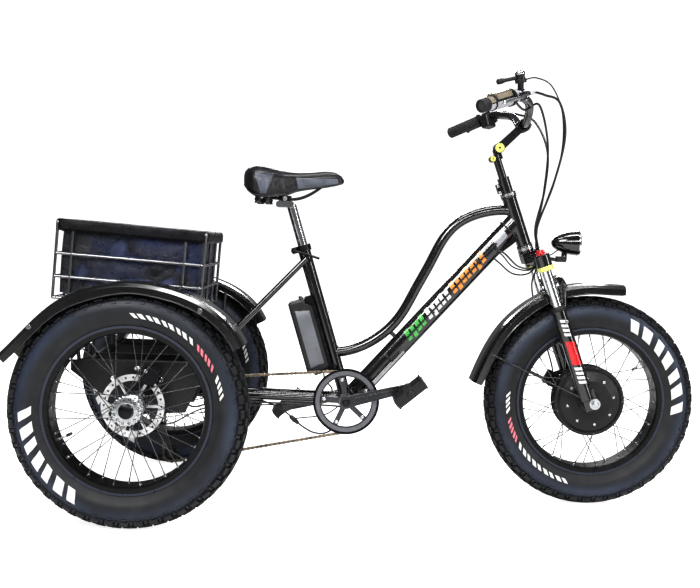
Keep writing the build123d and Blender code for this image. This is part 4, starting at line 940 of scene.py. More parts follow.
def frame_graphics():
    """Plain slanted bars in green, white and orange with silver stripes, on both sides of the down tube."""
    shape = Shape()
    for base in (0, 180):
        way = 1 if base == 0 else -1

        def stripe(start, end, low, high, slant, ink):
            low, high = base + way * low, base + way * high
            corners = [(start, low), (end, low), (end + slant, high), (start + slant, high)]
            shape.pad(down_tube, corners, -0.3, 0.35, ink, (3, 8))

        for start, count, wide, ink in ((228, 4, 18, 0), (312, 5, 17, 1), (412, 7, 18, 2)):
            for k in range(count):
                s = start + k * (wide + 1.5)
                top = 34 if k % 3 else 42
                low = -22 if k % 4 != 1 else -34
                stripe(s, s + wide * (0.72 if k % 2 else 0.8), low, top, 7, ink)
        stripe(36, 196, -52, -34, 0, 3)
        stripe(36, 150, -30, -26, 0, 1)
        stripe(590, 632, -18, 30, 6, 3)
    shape.piece("frame_graphics", "frame", [green_ink, white_ink, orange_ink, silver_ink])


def weld(shape, centre, axis, radius, wide, stretch=1.0):
    """A rippled weld bead round a tube's end."""
    axis = axis.normalized()
    side = ACROSS if abs(axis.y) < 0.5 else Vector((1, 0, 0))
    side = (side - axis * side.dot(axis)).normalized()
    up = axis.cross(side)
    path = []
    radii = []
    steps = 72
    for i in range(steps):
        a = 2 * pi * i / steps
        path.append(centre + (side * cos(a) * radius + up * sin(a) * radius * stretch) * MM)
        radii.append(wide * (1 + 0.22 * cos(i * pi)))
    shape.tube(path, radii, 8, 0, closed=True)


def frame_welds():
    """Beads at the head tube's ends, both ends of the down tube, the seat tube's foot and the stays."""
    shape = Shape()
    for along in (70.5, -70.5):
        weld(shape, steer(along), UP, 20.4, 1.6)
    for along in (648, 12):
        weld(shape, down_tube(along, 0, -20), DOWN_HEAD - DOWN_FOOT, 20.6, 2.2, 1.42)
    weld(shape, seat(20), SEAT_UP, 18.0, 2.2)
    for side in (-1, 1):
        for x, z in ((520, 282.5), (119, 289.7)):
            weld(shape, at(x, side * 38, z), Vector((1, 0, 0)), 11.4, 1.8)
    shape.piece("frame_welds", "frame", [weld_bead])


def fasteners():
    """Flanges and nuts of the rear axle's bearing blocks, caliper bolts and the battery mount's screws."""
    shape = Shape()
    for side in (-1, 1):
        out = ACROSS * side
        for plate_y in (105, 270):
            face = side * (plate_y + 6)
            block = at(0, face, REAR_AXLE.z / MM)
            shape.ring([(0, 21), (0, 32), (3, 31), (4.5, 27), (4.5, 21)], block, out, 48, 0)
            for i in range(4):
                spot = around(REAR_MIDDLE, 26.5, 45 + i * 90, face + side * 4)
                shape.stack([(0, 3.4), (2.6, 3.4), (3, 2.6)], spot, out, 6, 1)
        spot = around(REAR_MIDDLE, 96, 70, side * 338)
        shape.stack([(-3, 5), (1.5, 5), (2.5, 3.6), (2.6, 2), (1, 2)], spot, out, 16, 1)
    for along in (150, 250):
        shape.stack([(-2, 4.5), (2.5, 4.5), (3.2, 3.4)], seat(along, -17.2), -BEHIND, 16, 1)
    shape.piece("frame_fasteners", "frame", [powder, steel], bevel=0.25)


def fender_lips():
    """The rolled lips along both skirts of each fender."""
    rear_arc = ((157, 338), (150, 325), (123, 317), (94, 316), (72, 319), (55, 328), (42, 333), (31, 331))
    front_arc = ((76, 341), (82, 335), (95, 333), (110, 333), (125, 331), (141, 330), (156, 330), (172, 341))
    drop = 28.0
    rear_edges = [side * 368 + edge * 58.8 for side in (-1, 1) for edge in (-1, 1)]
    for name, body, axle, arc, edges in (
            ("rear_fender_lips", "frame", REAR_MIDDLE, rear_arc, rear_edges),
            ("front_fender_lips", "fork_slider", FRONT_AXLE, front_arc, (-51.8, 51.8))):
        shape = Shape()
        for y in edges:
            shape.tube(smooth([around(axle, r - drop, a, y) for a, r in arc]), 2.1, 8)
        shape.piece(name, body, [fender_paint])


# ---------------------------------------------------------------- basket bag
def rounded_loop(half_x, half_y, corner, steps=14, straight=30):
    """A rounded rectangle's points with their distance round it and which wall they are on."""
    points = []
    corners = [(1, 1), (-1, 1), (-1, -1), (1, -1)]

    def turn(i, degrees):
        sx, sy = corners[i % 4]
        a = radians(degrees)
        return sx * (half_x - corner) + corner * cos(a), sy * (half_y - corner) + corner * sin(a)

    for i in range(4):
        for k in range(steps):
            points.append((*turn(i, i * 90 + 90 * k / steps), None))
        start = Vector(turn(i, i * 90 + 90))
        end = Vector(turn(i + 1, i * 90 + 90))
        for k in range(straight):
            p = start.lerp(end, k / straight)
            points.append((p.x, p.y, (i, k / straight)))
    return points


def bag_folds(seed):
    """The straight creases of each wall: a point on each, its slant, half width and depth in millimetres."""
    draw = random.Random(seed)
    walls = []
    for _ in range(4):
        folds = []
        for k in range(7):
            start = (k + 0.5) / 7 + draw.uniform(-0.05, 0.05)
            slant = radians(draw.choice((52, 62, 118, 128)) + draw.uniform(-8, 8))
            level = draw.uniform(0.15, 0.85)
            folds.append((start, level, slant, draw.uniform(24, 46), draw.uniform(5.0, 9.5)))
        for k in range(3):
            level = draw.uniform(0.25, 0.75)
            start = draw.uniform(0.2, 0.8)
            folds.append((start, level, radians(draw.uniform(-14, 14)), draw.uniform(20, 32), 3.5))
        walls.append(folds)
    return walls


def fold_depth(folds, s, share, width, height):
    """How far a wall is pushed in by its straight creases; s and share run from 0 to 1 over the wall."""
    total = 0.0
    for start, level, slant, half, deep in folds:
        x, z = (s - start) * width, (share - level) * height
        off = abs(x * sin(slant) - z * cos(slant))
        along = abs(x * cos(slant) + z * sin(slant))
        total += deep * max(0.0, 1 - off / half) * max(0.0, 1 - along / 150)
    return total


def bag():
    """The nylon liner: a thin tub whose walls sag in V-shaped folds between the basket's wires."""
    walls = bag_folds(7)
    loop = rounded_loop(184, 165, 16, 14, 46)
    depth_steps = 34
    floor_shares = (0.04, 0.3, 0.6, 0.9)

    def wall_point(x, y, place, share, inset):
        depth = 2 + share * 184
        dent = -2.5 * sin(share * pi)
        if place:
            wall, s = place
            ends = min(1, s / 0.08, (1 - s) / 0.08) * min(1, share / 0.12, (1 - share) / 0.06)
            dent += ends * fold_depth(walls[wall], s, share, 350, 184)
        push = (dent + inset) / Vector((x, y)).length
        scale = 1 - push
        return basket(x * scale, y * scale, -depth)

    def floor_row(share, level, ripple):
        return [basket(x * share, y * share, level + ripple * sin(x * 0.06) * cos(y * 0.05))
                for x, y, _ in loop]

    def wall_row(step, inset):
        return [wall_point(x, y, place, step / depth_steps, inset) for x, y, place in loop]

    rows = [floor_row(share, -188, 1.2) for share in floor_shares]
    rows += [wall_row(step, 0) for step in range(depth_steps, -1, -1)]
    rows += [wall_row(step, 2.2) for step in range(depth_steps + 1)]
    rows += [floor_row(share, -185.5, 2.2) for share in reversed(floor_shares)]
    shape = Shape()
    shape.rows(rows, 0, caps=True)
    shape.piece("bag_liner", "frame", [bag_cloth], ("basket_bag",), 24)
    bag_hem()


def bag_hem():
    """The padded hem folded over the top rail, with a row of stitches."""
    shape = Shape()
    corner = 14
    loop = rounded_loop(*BASKET_HALF, corner)
    rows = []

    def outward(x, y):
        """The way out of the basket: square to each wall, and turning through the corner."""
        dx = max(0.0, abs(x) - (BASKET_HALF[0] - corner)) * (1 if x > 0 else -1)
        dy = max(0.0, abs(y) - (BASKET_HALF[1] - corner)) * (1 if y > 0 else -1)
        return Vector((dx, dy)).normalized()

    for i, (x, y, _) in enumerate(loop):
        out = outward(x, y)
        swell = 0.7 * sin(i * 0.9) + 0.5 * sin(i * 0.37 + 1)
        section = [(-8, -24), (-9, -8), (-8.5, 2), (-5, 8), (0, 9.5), (5, 8), (8, 2), (8 + swell * 0.5, -8),
                   (7.5 + swell, -18), (5, -22), (5, -6), (-5, -6)]
        rows.append([basket(x + out.x * a, y + out.y * a, b + swell * 0.3) for a, b in section])
    shape.rows(rows, 0, ring=True)
    for (x, y, place), (nx, ny, _) in zip(loop, loop[1:]):
        if place is None:
            continue
        out = outward(x, y)
        for part in range(2):
            start, end = [basket(x + (nx - x) * share + out.x * 8.3, y + (ny - y) * share + out.y * 8.3, -14)
                          for share in ((part + 0.15) / 2, (part + 0.75) / 2)]
            shape.tube([start, start.lerp(end, 0.5), end], 0.5, 5, 1)
    shape.piece("bag_hem", "frame", [hem_cloth, thread], crease=50)


# ---------------------------------------------------------------- saddle and post
SADDLE = (
    # x, half width, top, bottom, height of the widest line
    (237, 30, 905, 876, 893), (241, 62, 914, 866, 889), (252, 84, 924, 850, 884), (270, 97, 930, 836, 881),
    (292, 96, 929, 832, 879), (320, 78, 923, 836, 880), (350, 56, 916.5, 843, 883), (385, 39, 914, 857, 887),
    (425, 29, 916, 865, 890), (465, 24, 919.5, 871, 895), (492, 19, 917, 877, 898), (508, 12, 908, 883, 897),
    (516, 4, 898, 889, 894),
)
# How full the saddle's section is: toward its sides, over its top and under its widest line.
SIDE_POWER, TOP_POWER, UNDER_POWER = 0.72, 0.8, 0.38


def saddle_point(x, angle, swell=0.0):
    """A point on the saddle's skin at a station and an angle from its right edge over the top."""
    _, half, top, low, wide = saddle_station(x)
    a = radians(angle)
    c, s = cos(a), sin(a)
    y = half * abs(c) ** SIDE_POWER * (-1 if c >= 0 else 1)
    if s >= 0:
        z = wide + (top - wide) * abs(s) ** TOP_POWER
        z -= 3.2 * max(0, 1 - (y / 16) ** 2) * max(0, 1 - ((x - 360) / 90) ** 2)
    else:
        z = wide - (wide - low) * abs(s) ** UNDER_POWER
        z += 20 * max(0, 1 - (abs(y) / max(half * 0.8, 1)) ** 2) * min(1, half / 60)
    centre = at(x, 0, wide)
    point = at(x, y, z)
    if swell:
        point += (point - centre).normalized() * swell * MM
    return point


def saddle_flank(side):
    """A point on one flank of the saddle: its place along x, its height, and how far outside the skin."""
    def surface(x, z, height):
        _, half, top, low, wide = saddle_station(x)
        if z < wide:
            share = ((wide - z) / (wide - low)) ** (1 / UNDER_POWER)
        else:
            share = ((z - wide) / (top - wide)) ** (1 / TOP_POWER)
        return at(x, side * (half * max(0.0, 1 - share * share) ** (SIDE_POWER / 2) + height), z)
    return surface


def saddle_station(x):
    """Smooth reading of the saddle's stations."""
    last = len(SADDLE) - 1
    i = 0
    while i < last - 1 and x > SADDLE[i + 1][0]:
        i += 1
    p0, p1, p2, p3 = SADDLE[max(i - 1, 0)], SADDLE[i], SADDLE[i + 1], SADDLE[min(i + 2, last)]
    t = (x - p1[0]) / (p2[0] - p1[0])
    result = []
    for a, b, c, d in zip(p0, p1, p2, p3):
        m1 = (c - a) / 2
        m2 = (d - b) / 2
        result.append((2 * t ** 3 - 3 * t * t + 1) * b + (t ** 3 - 2 * t * t + t) * m1
                      + (3 * t * t - 2 * t ** 3) * c + (t ** 3 - t * t) * m2)
    return result


def saddle():
    """A crowned vinyl saddle with grey side panels, piping, a centre channel and rubber bumpers."""
    count = 96
    stations = 110
    tail, nose = 237.2, 515.6
    xs = []
    for i in range(stations + 1):
        share = i / stations
        eased = (1 - cos(share * pi)) / 2
        xs.append(tail + (nose - tail) * (0.6 * share + 0.4 * eased))
    shape = Shape()
    rows = [[saddle_point(x, 360 * j / count) for j in range(count)] for x in xs]
    shape.rows(rows, 0, caps=True)
    for index in range(len(shape.faces) - 2):
        angle = (index % count) * 360 / count + 3
        if 225 < angle < 315:
            shape.paint[index] = 2
    for angles, swell, ends, radius, paint in (((24, 156), 0.2, 3, 1.3, 0), ((332, 208), 0.1, 2, 1.8, 2)):
        for angle in angles:
            path = [saddle_point(x, angle, swell) for x in xs[ends:-ends]]
            shape.tube(path, radius, 8, paint)
    bumper = [(-14, 9), (-13, 11), (-8, 9), (-3, 11), (2, 9), (7, 11), (14, 9)]
    for side in (-1, 1):
        flank = saddle_flank(side)
        shape.pad(flank, [(288, 848), (304, 848), (324, 906), (270, 906)], -1, 0.9, 1, (12, 16), 0.06)
        shape.pad(flank, [(388, 863), (502, 886), (498, 899), (380, 898)], -1, 0.9, 1, (30, 10), 0.06)
        for x in (280, 304):
            shape.stack(bumper, at(x, side * 50, 838), Vector((0, 0, 1)), 24, 2)
        rivet = saddle_point(291, 318 if side < 0 else 222)
        shape.stack([(-2, 3), (0.6, 3), (1.4, 2)], rivet, ACROSS * side, 16, 3)
    paints = [saddle_black, saddle_grey, plastic, chrome]
    shape.piece("saddle_cover", "seat", paints, ("saddle",), 60)


def post_details():
    """Clamp bolts under the saddle and at both sides of the seatpost's head."""
    shape = Shape()
    for x in (342, 362):
        shape.stack([(-2, 4), (5, 4), (6.5, 3)], at(x, 0, 832), Vector((0, 0, -1)), 6, 0)
    for side in (-1, 1):
        head = [(0, 7), (3, 7), (4.4, 5.4), (4.5, 3), (3, 3)]
        shape.stack(head, at(352, side * 28, 840), ACROSS * side, 18, 0)
    shape.piece("post_details", "seat", [steel])


# ---------------------------------------------------------------- battery
def battery():
    """Side panels, parting lines, a key lock, a charge socket cover, charge lights and a handle."""
    shape = Shape()
    low, high = 100, 305            # the case's ends, up the seat tube
    near, far = 35.2, 84.0          # its front and back, behind the seat tube's axis
    for side in (-1, 1):
        def face(along, behind, height):
            return seat(along, behind, side * (41 + height))

        skirt = [(low + 3, near + 12), (low + 3, near - 9), (low + 8, near - 14), (high - 26, near - 14),
                 (high - 18, near - 6), (high - 10, near + 12)]
        shape.prism(skirt, SEAT_UP, BEHIND, seat(0, 0, side * 39.4), ACROSS * 3 * MM, 0)
        panel = [(low + 15, near - 5), (high - 34, near - 5), (high - 24, far - 13), (low + 11, far - 13)]
        shape.pad(face, panel, -1, 1.4, 1, (6, 3), 0.05)
    for edge in (low + 16, high - 30):
        shape.prism([(near + 6, 42.0), (far + 0.8, 42.0), (far + 0.8, -42.0), (near + 6, -42.0)],
                    BEHIND, ACROSS, seat(edge), SEAT_UP * 1.6 * MM, 0)
    handle = [seat(high - 2, near + 8, 24), seat(high + 5, near + 12, 18), seat(high + 5, near + 12, -18),
              seat(high - 2, near + 8, -24)]
    shape.tube(smooth(handle, 6), 4.2, 10)
    lock = seat(high - 14, far - 16, 41)
    shape.stack([(-1, 8), (2.4, 8), (3.2, 6.8), (3.2, 4)], lock, ACROSS, 24, 2)
    slit = [(-0.8, -3), (0.8, -3), (0.8, 3), (-0.8, 3)]
    shape.prism(slit, SEAT_UP, BEHIND, lock + ACROSS * 3.4 * MM, ACROSS * 0.6 * MM, 0)
    shape.stack([(-1, 9), (1.8, 9), (2.6, 7.5)], seat(low + 30, far - 20, 41), ACROSS, 24, 3)
    for k in range(4):
        spot = seat(high - 18 - 7 * k, far - 0.5, 0)
        shape.stack([(0, 1.6), (1.2, 1.6), (1.6, 1.0)], spot, BEHIND, 10, 4)
    paints = [plastic, case_grey, alloy, rubber, green_ink]
    shape.piece("battery_details", "battery", paints, bevel=0.4)


# ---------------------------------------------------------------- fork and lamp
def leg(side):
    """A point on a fork leg's skin: along the steering axis, degrees round from ahead, height above."""
    def surface(along, angle, height):
        a = radians(angle)
        return steer(along, LEG_AHEAD + cos(a) * (20 + height), side * LEG_SIDE + sin(a) * (20 + height))
    return surface


def fork_details():
    """Wiper seals, leg graphics and drop-out bolts on the sliding legs."""
    seal = [(-6, 20.2), (-6, 21.6), (2, 21.6), (4, 19), (7, 17.5), (7, 14.3), (-0.5, 14.3), (-0.5, 20.2)]
    bolt = [(0, 5.2), (4, 5.2), (5, 4), (5, 2.2), (3, 2.2)]
    shape = Shape()
    for side in (-1, 1):
        shape.ring(seal, leg_axis(-262, side), UP, 40, 0)
        shape.stack([(0, 12), (-4, 11), (-6, 8)], leg_axis(-527, side), UP, 28, 0)

        def print_bar(start, end, wide, slant, ink, steps):
            low, high = 90 * side - wide, 90 * side + wide
            corners = [(start, low), (end, low), (end - slant, high), (start - slant, high)]
            shape.pad(leg(side), corners, -0.3, 0.35, ink, steps)

        print_bar(-352, -420, 38, 8, 1, (4, 10))
        for top, wide in ((-290, 26), (-428, 30)):
            for k in range(4):
                print_bar(top - k * 13, top - k * 13 - 8, wide, 6, 2, (2, 8))
        shape.stack(bolt, steer(-300, 30, side * 98), ACROSS * side, 16, 3)
    for side in (-1, 1):
        axle = around(FRONT_AXLE, 0, 0, side * 86.5)
        shape.ring([(0, 6.2), (0, 15), (1.6, 15), (1.6, 6.2)], axle, ACROSS * side, 32, 3)
        shape.stack([(9, 8.6), (11, 8.2), (13, 6)], axle, ACROSS * side, 24, 3)
    shape.piece("fork_leg_details", "fork_slider", [rubber, red, white_ink, alloy])


def crown_details():
    """The lime cups under the crown, the legs' caps, the red damping knob and the headset's rings."""
    crown_foot, crown_top = -146, -108
    cup = [(-5, 14.2), (-5, 20.5), (-3.5, 22.8), (7, 22.8), (8, 21.8), (0.4, 21.8), (-0.6, 14.2)]
    collar = [(0, 16), (0, 23), (2.5, 22.5), (3.5, 19), (3.5, 16)]
    shape = Shape()
    for side in (-1, 1):
        shape.ring(cup, leg_axis(crown_foot, side), UP, 48, 0)
        shape.ring(collar, leg_axis(crown_top, side), UP, 40, 2)
    knob = [(0, 16), (5, 15), (5.5, 12), (14, 11), (16, 8)]
    shape.stack(knob, leg_axis(crown_top, -1), UP, 120, 1, 20, 0.5)
    shape.stack([(0, 17), (6, 16), (8, 13), (8.4, 4)], leg_axis(crown_top, 1), UP, 60, 2)
    for along, radius in ((-75, 22.4), (-86, 22.4), (75, 22.4), (84, 22.0)):
        inner, outer = radius - 0.8, radius + 0.6
        shape.ring([(-1, inner), (-1, outer), (1, outer), (1, inner)], steer(along), UP, 48, 2)
    shape.piece("crown_details", "fork", [lime, red, black_alloy])


def stem_details():
    """Clamp bolts of the riser, rings round the stem's two side caps and the bar clamp's bolts."""
    shape = Shape()
    for along in (92, 110):
        shape.stack([(-12, 4), (12, 4), (13, 3)], steer(along, -22), ACROSS, 14, 0)
    pivot = Vector(JOINTS["stem_angle"]["pos_m"])
    for side in (-1, 1):
        for centre, face, radius in ((pivot, 21, 6.5), (steer(188, -12.5), 17.4, 3.4)):
            spot = centre + ACROSS * side * face * MM
            section = [(-0.6, radius), (0.8, radius + 0.3), (0.8, radius + 1.5), (-0.6, radius + 1.8)]
            shape.ring(section, spot, ACROSS * side, 32, 1)
            shape.stack([(-0.5, radius * 0.5), (0.5, radius * 0.5)], spot, ACROSS * side, 6, 2)
    shape.piece("riser_bolts", "fork", [steel, lime, black_alloy])
    shape = Shape()
    clamp = at(1014, 0, 1066)
    ahead = Vector((cos(radians(40)), 0, sin(radians(40))))
    up = Vector((-ahead.z, 0, ahead.x))
    for side in (-1, 1):
        for lift in (-11.5, 11.5):
            spot = clamp + (ahead * 14.2 + up * lift + ACROSS * side * 15) * MM
            shape.stack([(-3, 3.6), (3.4, 3.6), (4.2, 2.8), (4.2, 1.5), (2, 1.5)], spot, ahead, 14, 0)
        end = clamp + ACROSS * side * 23 * MM
        shape.ring([(0, 11.3), (0, 17.6), (1.5, 17), (1.5, 11.3)], end, ACROSS * side, 40, 1)
    shape.piece("bar_clamp_bolts", "cockpit", [steel, black_alloy])


def lamp():
    """Reflector bowl, bulb and bezel of the headlight, with its bracket's bolt heads."""
    centre = at(1150, 0, 741)
    axis = Vector((1, 0, 0))
    bowl = [(1, 6), (4, 12), (12, 21), (22, 27), (31, 29.6), (32.5, 29.6), (22, 28.4), (12, 23), (3, 14),
            (0, 6)]
    shape = Shape()
    shape.ring(bowl, centre, axis, 48, 0)
    shape.stack([(0.5, 5.8), (8, 5.4), (12, 6.4), (17, 5.6), (20, 2.6)], centre, axis, 24, 2)
    shape.ring([(31.5, 31.2), (31, 34.6), (33, 35.6), (36, 35), (37, 32), (34.4, 31.2)], centre, axis, 64, 1)
    for side in (-1, 1):
        shape.stack([(0, 5), (2.6, 5), (3.4, 3.8)], at(1146, side * 5, 700), ACROSS * side, 18, 1)
    shape.piece("lamp_details", "headlight", [mirror_metal, chrome, reflector_clear])


# ---------------------------------------------------------------- cockpit
def grip(name, node, body, side, start, end, radius):
    """A rubber grip with finger ribs, a flared inner flange and a rounded end."""
    axis = on_bar(1, side) - on_bar(0, side)
    shape = Shape()
    outer = [(start, radius + 3.2), (start + 3, radius + 3.6), (start + 5, radius)]
    x = start + 8
    while x < end - 7:
        outer += [(x, radius - 0.7), (x + 1.6, radius + 0.5), (x + 3.6, radius + 0.5),
                  (x + 5.0, radius - 0.7)]
        x += 5.6
    outer += [(end - 3, radius + 0.6), (end - 0.6, radius - 1.5), (end, radius - 4.2)]
    section = outer + [(end, 11.2), (start, 11.2)]
    shape.ring(section, on_bar(0, side), axis, 40, 0)
    shape.piece(name, body, [rubber], (node,), 30)


def lever(name, node, body, side, paint):
    """A forged brake lever: an eye, a flat tapering blade and a ball end."""
    shape = Shape()
    up = on_bar(0, side, 0, 1) - on_bar(0, side)
    shape.stack([(-4.6, 7), (-4, 8), (4, 8), (4.6, 7)], on_bar(-24, side, 36), up, 28)
    line = ((-22, 38), (-4, 44), (20, 46.5), (50, 46), (72, 47.5), (88, 50))
    path = smooth([on_bar(along, side, forward) for along, forward in line], 6)
    count = len(path)
    radii = [6.2 - 2.4 * i / count for i in range(count)]
    shape.tube(path, radii, 14, 0, 0.8)
    ball = [(-5, 2), (-4, 4.2), (-1.5, 5.5), (1.5, 5.5), (4, 4.2), (5, 2)]
    shape.stack(ball, on_bar(88, side, 50), path[-1] - path[-3], 20)
    shape.piece(name, body, [paint], (node,), 40)


def barrel_skin(radius):
    """A point on the right grip's barrel: millimetres along, degrees up from its front, height above."""
    def surface(along, angle, height):
        a = radians(angle)
        return on_bar(along, -1, cos(a) * (radius + height), sin(a) * (radius + height))
    return surface


def cockpit_details():
    """Throttle housing with its charge display, lever bolts, adjusters, shifter dome and twist bands."""
    shape = Shape()
    axis = on_bar(1, -1) - on_bar(0, -1)
    root = on_bar(0, -1)
    for start in (1, 70):
        shape.ring([(start, 18.4), (start, 19.3), (start + 3, 19.3), (start + 3, 18.4)], root, axis, 48, 1)
    shape.ring([(-8, 17.3), (-9, 22.6), (0.5, 22.8), (0.5, 17.3)], root, axis, 48, 1)
    front = (on_bar(0, -1, 1) - root) / MM
    lift = (on_bar(0, -1, 0, 1) - root) / MM
    cover = [(-16.6, 6), (-16.6, 18), (-12, 22.6), (12, 22.6), (16.8, 18), (18.8, 8), (17.6, 6)]
    shape.prism(cover, front, lift, on_bar(38, -1), axis * 62, 0)
    window = [(-9, -22), (9, -22), (9, 22), (-9, 22)]
    shape.prism(window, front, axis / MM, on_bar(38, -1, 0, 22.8), lift * 1.2 * MM, 2)
    for k in range(4):
        shape.stack([(0, 1.4), (0.5, 1.4)], on_bar(24 + k * 7, -1, 0, 23.3), lift, 10, 3)
    shape.pad(barrel_skin(18.5), [(4, -66), (73, -66), (73, 2), (4, 2)], -0.5, 1.9, 5, (1, 12), 0.02)
    for side, paint in ((-1, 5), (1, 1)):
        up = on_bar(0, side, 0, 1) - on_bar(0, side)
        shape.stack([(10, 5), (12, 5), (13, 4), (13, 2), (11.5, 2)], on_bar(-24, side, 36), up, 18, paint)
        shape.stack([(-13, 4), (-10, 5), (-9, 5)], on_bar(-24, side, 36), up, 6, paint)
        tip = on_bar(-58, side, 30, 2)
        away = tip - on_bar(-30, side, 22, 0)
        shape.stack([(-6, 6), (0, 6.4), (5, 6.4), (9, 4), (14, 3.4)], tip, away, 60, paint, 12, 0.35)
        clamp = on_bar(-23, side)
        around_bar = on_bar(1, side) - on_bar(0, side)
        shape.ring([(-9, 15.6), (-9, 16.8), (9, 16.8), (9, 15.6)], clamp, around_bar, 40, paint)
    up = on_bar(0, -1, 0, 1) - root
    shape.stack([(53, 14), (55, 14.2), (58, 12.5), (60.5, 9), (61.6, 4)], on_bar(-52, -1, 6), up, 40, 4)
    paints = [gold_body, plastic, screen, green_ink, chrome, satin]
    shape.piece("cockpit_details", "cockpit", paints)
    shape = Shape()
    for low, high, paint, steps in ((6, 104, 0, 14), (-66, -4, 1, 10)):
        band = [(77, low), (96, low), (96, high), (77, high)]
        shape.pad(barrel_skin(16.6), band, 0, 1.4, paint, (1, steps), 0.02)
    shape.piece("twist_bands", "throttle", [gold_body, satin])


def shifter_pad():
    """The rubber pad on the shift lever's paddle."""
    shape = Shape()
    line = ((-40, 1), (-20, -7.5), (-4, -14), (4, -17), (13, -20.5))
    path = [on_bar(along, -1, forward, 44.6) for along, forward in line]
    shape.tube(smooth(path, 4), [4.4] + [5.0] * 8 + [7.2] * 7 + [5.0], 16, 0)
    shape.piece("shifter_pad", "shifter", [rubber])


# ---------------------------------------------------------------- cables
def cable(name, points, radius, body, other=None):
    """A cable along smooth points. With a second body it rides on neither body and stays where it is drawn.
    """
    shape = Shape()
    shape.tube(smooth(points, 10), radius, 10)
    obj = shape.object(name, [cable_jacket])
    if other:
        tuple(points[0])
        tuple(points[-1])
        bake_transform(obj)
    else:
        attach(obj, body)


def cables():
    """Control cables from the bar to the crown, round the head tube and on along the frame."""
    clip = steer(-96, 34, 0)

    def at_clip(offset, lift):
        return clip + ACROSS * offset * MM + UP * lift * MM

    runs = (
        ("right_brake_hose", 3.3, on_bar(-66, -1, 33, 2),
         ((1033, -188, 1126), (1082, -150, 1112), (1113, -92, 1030), (1097, -48, 905), (1062, -22, 785))),
        ("left_brake_hose", 3.3, on_bar(-66, 1, 33, 2),
         ((1030, 188, 1122), (1076, 145, 1096), (1103, 80, 1005), (1090, 36, 890), (1064, 14, 785))),
        ("shift_cable", 1.9, on_bar(-60, -1, 14, 36),
         ((1010, -186, 1170), (1058, -160, 1152), (1100, -112, 1080), (1108, -60, 960), (1066, -10, 790))),
        ("display_wire", 3.2, on_bar(-8, -1, 14, -14),
         ((985, -170, 1088), (1040, -90, 1112), (1082, -22, 1010), (1079, -8, 880), (1066, -2, 790))),
    )
    for index, (name, radius, lever_end, bends) in enumerate(runs):
        offset = (index - 1.5) * 7.0
        points = [lever_end, *places(*bends), at_clip(offset, 12), at_clip(offset, -4)]
        cable(name, points, radius, "cockpit", "fork")
    shape = Shape()
    outline = [(-14, -4), (14, -4), (15, 0), (14, 4), (-14, 4), (-15, 0)]
    for lift in (-2, 8):
        shape.prism(outline, ACROSS, AHEAD, clip + UP * lift * MM, UP * 3.4 * MM, 0)
    shape.tube([clip - AHEAD * 12 * MM, clip - AHEAD * 6 * MM, clip], 3, 8)
    shape.piece("cable_clip", "fork", [plastic], bevel=0.5)
    loops = (
        ("right_brake_loop", 2.6, -8.4,
         ((1072, -30, 690), (1052, -47, 668), (1008, -46, 672), (972, -30, 706), (948, -23, 716))),
        ("shift_loop", 2.1, 2.8,
         ((1080, 24, 688), (1056, 46, 660), (1010, 46, 668), (974, 30, 702), (950, 23, 712))),
        ("motor_wire_loop", 2.4, 8.4,
         ((1084, 34, 694), (1060, 52, 652), (1012, 50, 648), (966, 32, 680), (938, 22, 700))),
    )
    for name, radius, offset, bends in loops:
        start = at_clip(offset, -4)
        cable(name, [start, start - UP * 14 * MM, *places(*bends)], radius, "fork", "frame")
    legs = ((-128, 42, 20), (-150, 24, 52), (-190, 0, 70), (-262, -8, 88), (-380, -10, 92), (-440, -14, 84),
            (-462, -22, 72))
    front = [at_clip(-2.8, -4)] + [steer(*place) for place in legs]
    cable("front_brake_hose", front, 2.4, "fork", "fork_slider")
    frame_cables()


def frame_cables():
    """The runs fixed to the frame, the bottom bracket's sensor wire and its plug, straps and lamp wire."""
    down = (
        ("rear_brake_run", 2.6, -1, 178,
         ((300, -52, 270), (180, -56, 268), (118, -84, 258), (90, -150, 300), (60, -220, 352),
          (42, -290, 384), (44, -322, 384))),
        ("shift_run", 2.1, 1, 4,
         ((480, 18, 262), (420, -20, 262), (300, -50, 262), (150, -54, 250), (60, -70, 208),
          (10, -92, 212), (2, -90, 238))),
        ("motor_run", 2.4, 1, -16, ((500, 44, 300), (478, 26, 330), (476, 14, 372))),
    )
    for name, radius, side, angle, bends in down:
        points = [down_tube(s, angle, radius + 0.4) for s in (596, 560, 480, 380, 280, 180, 90, 40)]
        points += places((548, side * 42, 262), (500, side * 50, 266), *bends)
        cable(name, points, radius, "frame")
    slack = places((300, -46, 276), (340, -46, 262), (368, -46, 247), (401, -44, 219), (426, -42, 200),
                   (452, -40, 187), (480, -38, 185), (503, -34, 197), (520, -28, 230), (528, -20, 258))
    cable("sensor_wire", slack, 2.4, "frame")
    spur = places((396, -44, 225), (425, -42, 229), (455, -38, 232), (490, -30, 240), (522, -20, 262))
    cable("sensor_spur", spur, 1.8, "frame")
    body = [(-15, 3), (-12, 6), (-1, 6.6), (0, 7.4), (3, 7.4), (4, 6.2), (14, 5.4), (17, 3)]
    plug = Shape()
    plug.stack(body, at(396, -44, 223), at(401, -44, 219) - at(368, -46, 247), 20, 0)
    plug.piece("sensor_plug", "frame", [plastic])
    left = places((300, 52, 270), (180, 56, 268), (118, 84, 262), (90, 150, 300), (60, 220, 352),
                  (42, 290, 384), (44, 322, 384))
    cable("left_brake_run", left, 2.6, "frame")
    straps = Shape()
    for s in (150, 330, 520):
        for base in (0, 180):
            low, high = base - 22, base + 10
            straps.pad(down_tube, [(s, low), (s + 7, low), (s + 7, high), (s, high)], 5.2, 6.4, 0, (1, 8))
    straps.piece("cable_straps", "frame", [plastic])
    lamp_wire = places((1132, 0, 722), (1122, -8, 718), (1109, -13, 709), (1096, -12, 704), (1082, -6, 708))
    cable("lamp_wire", lamp_wire, 1.6, "headlight", "fork")


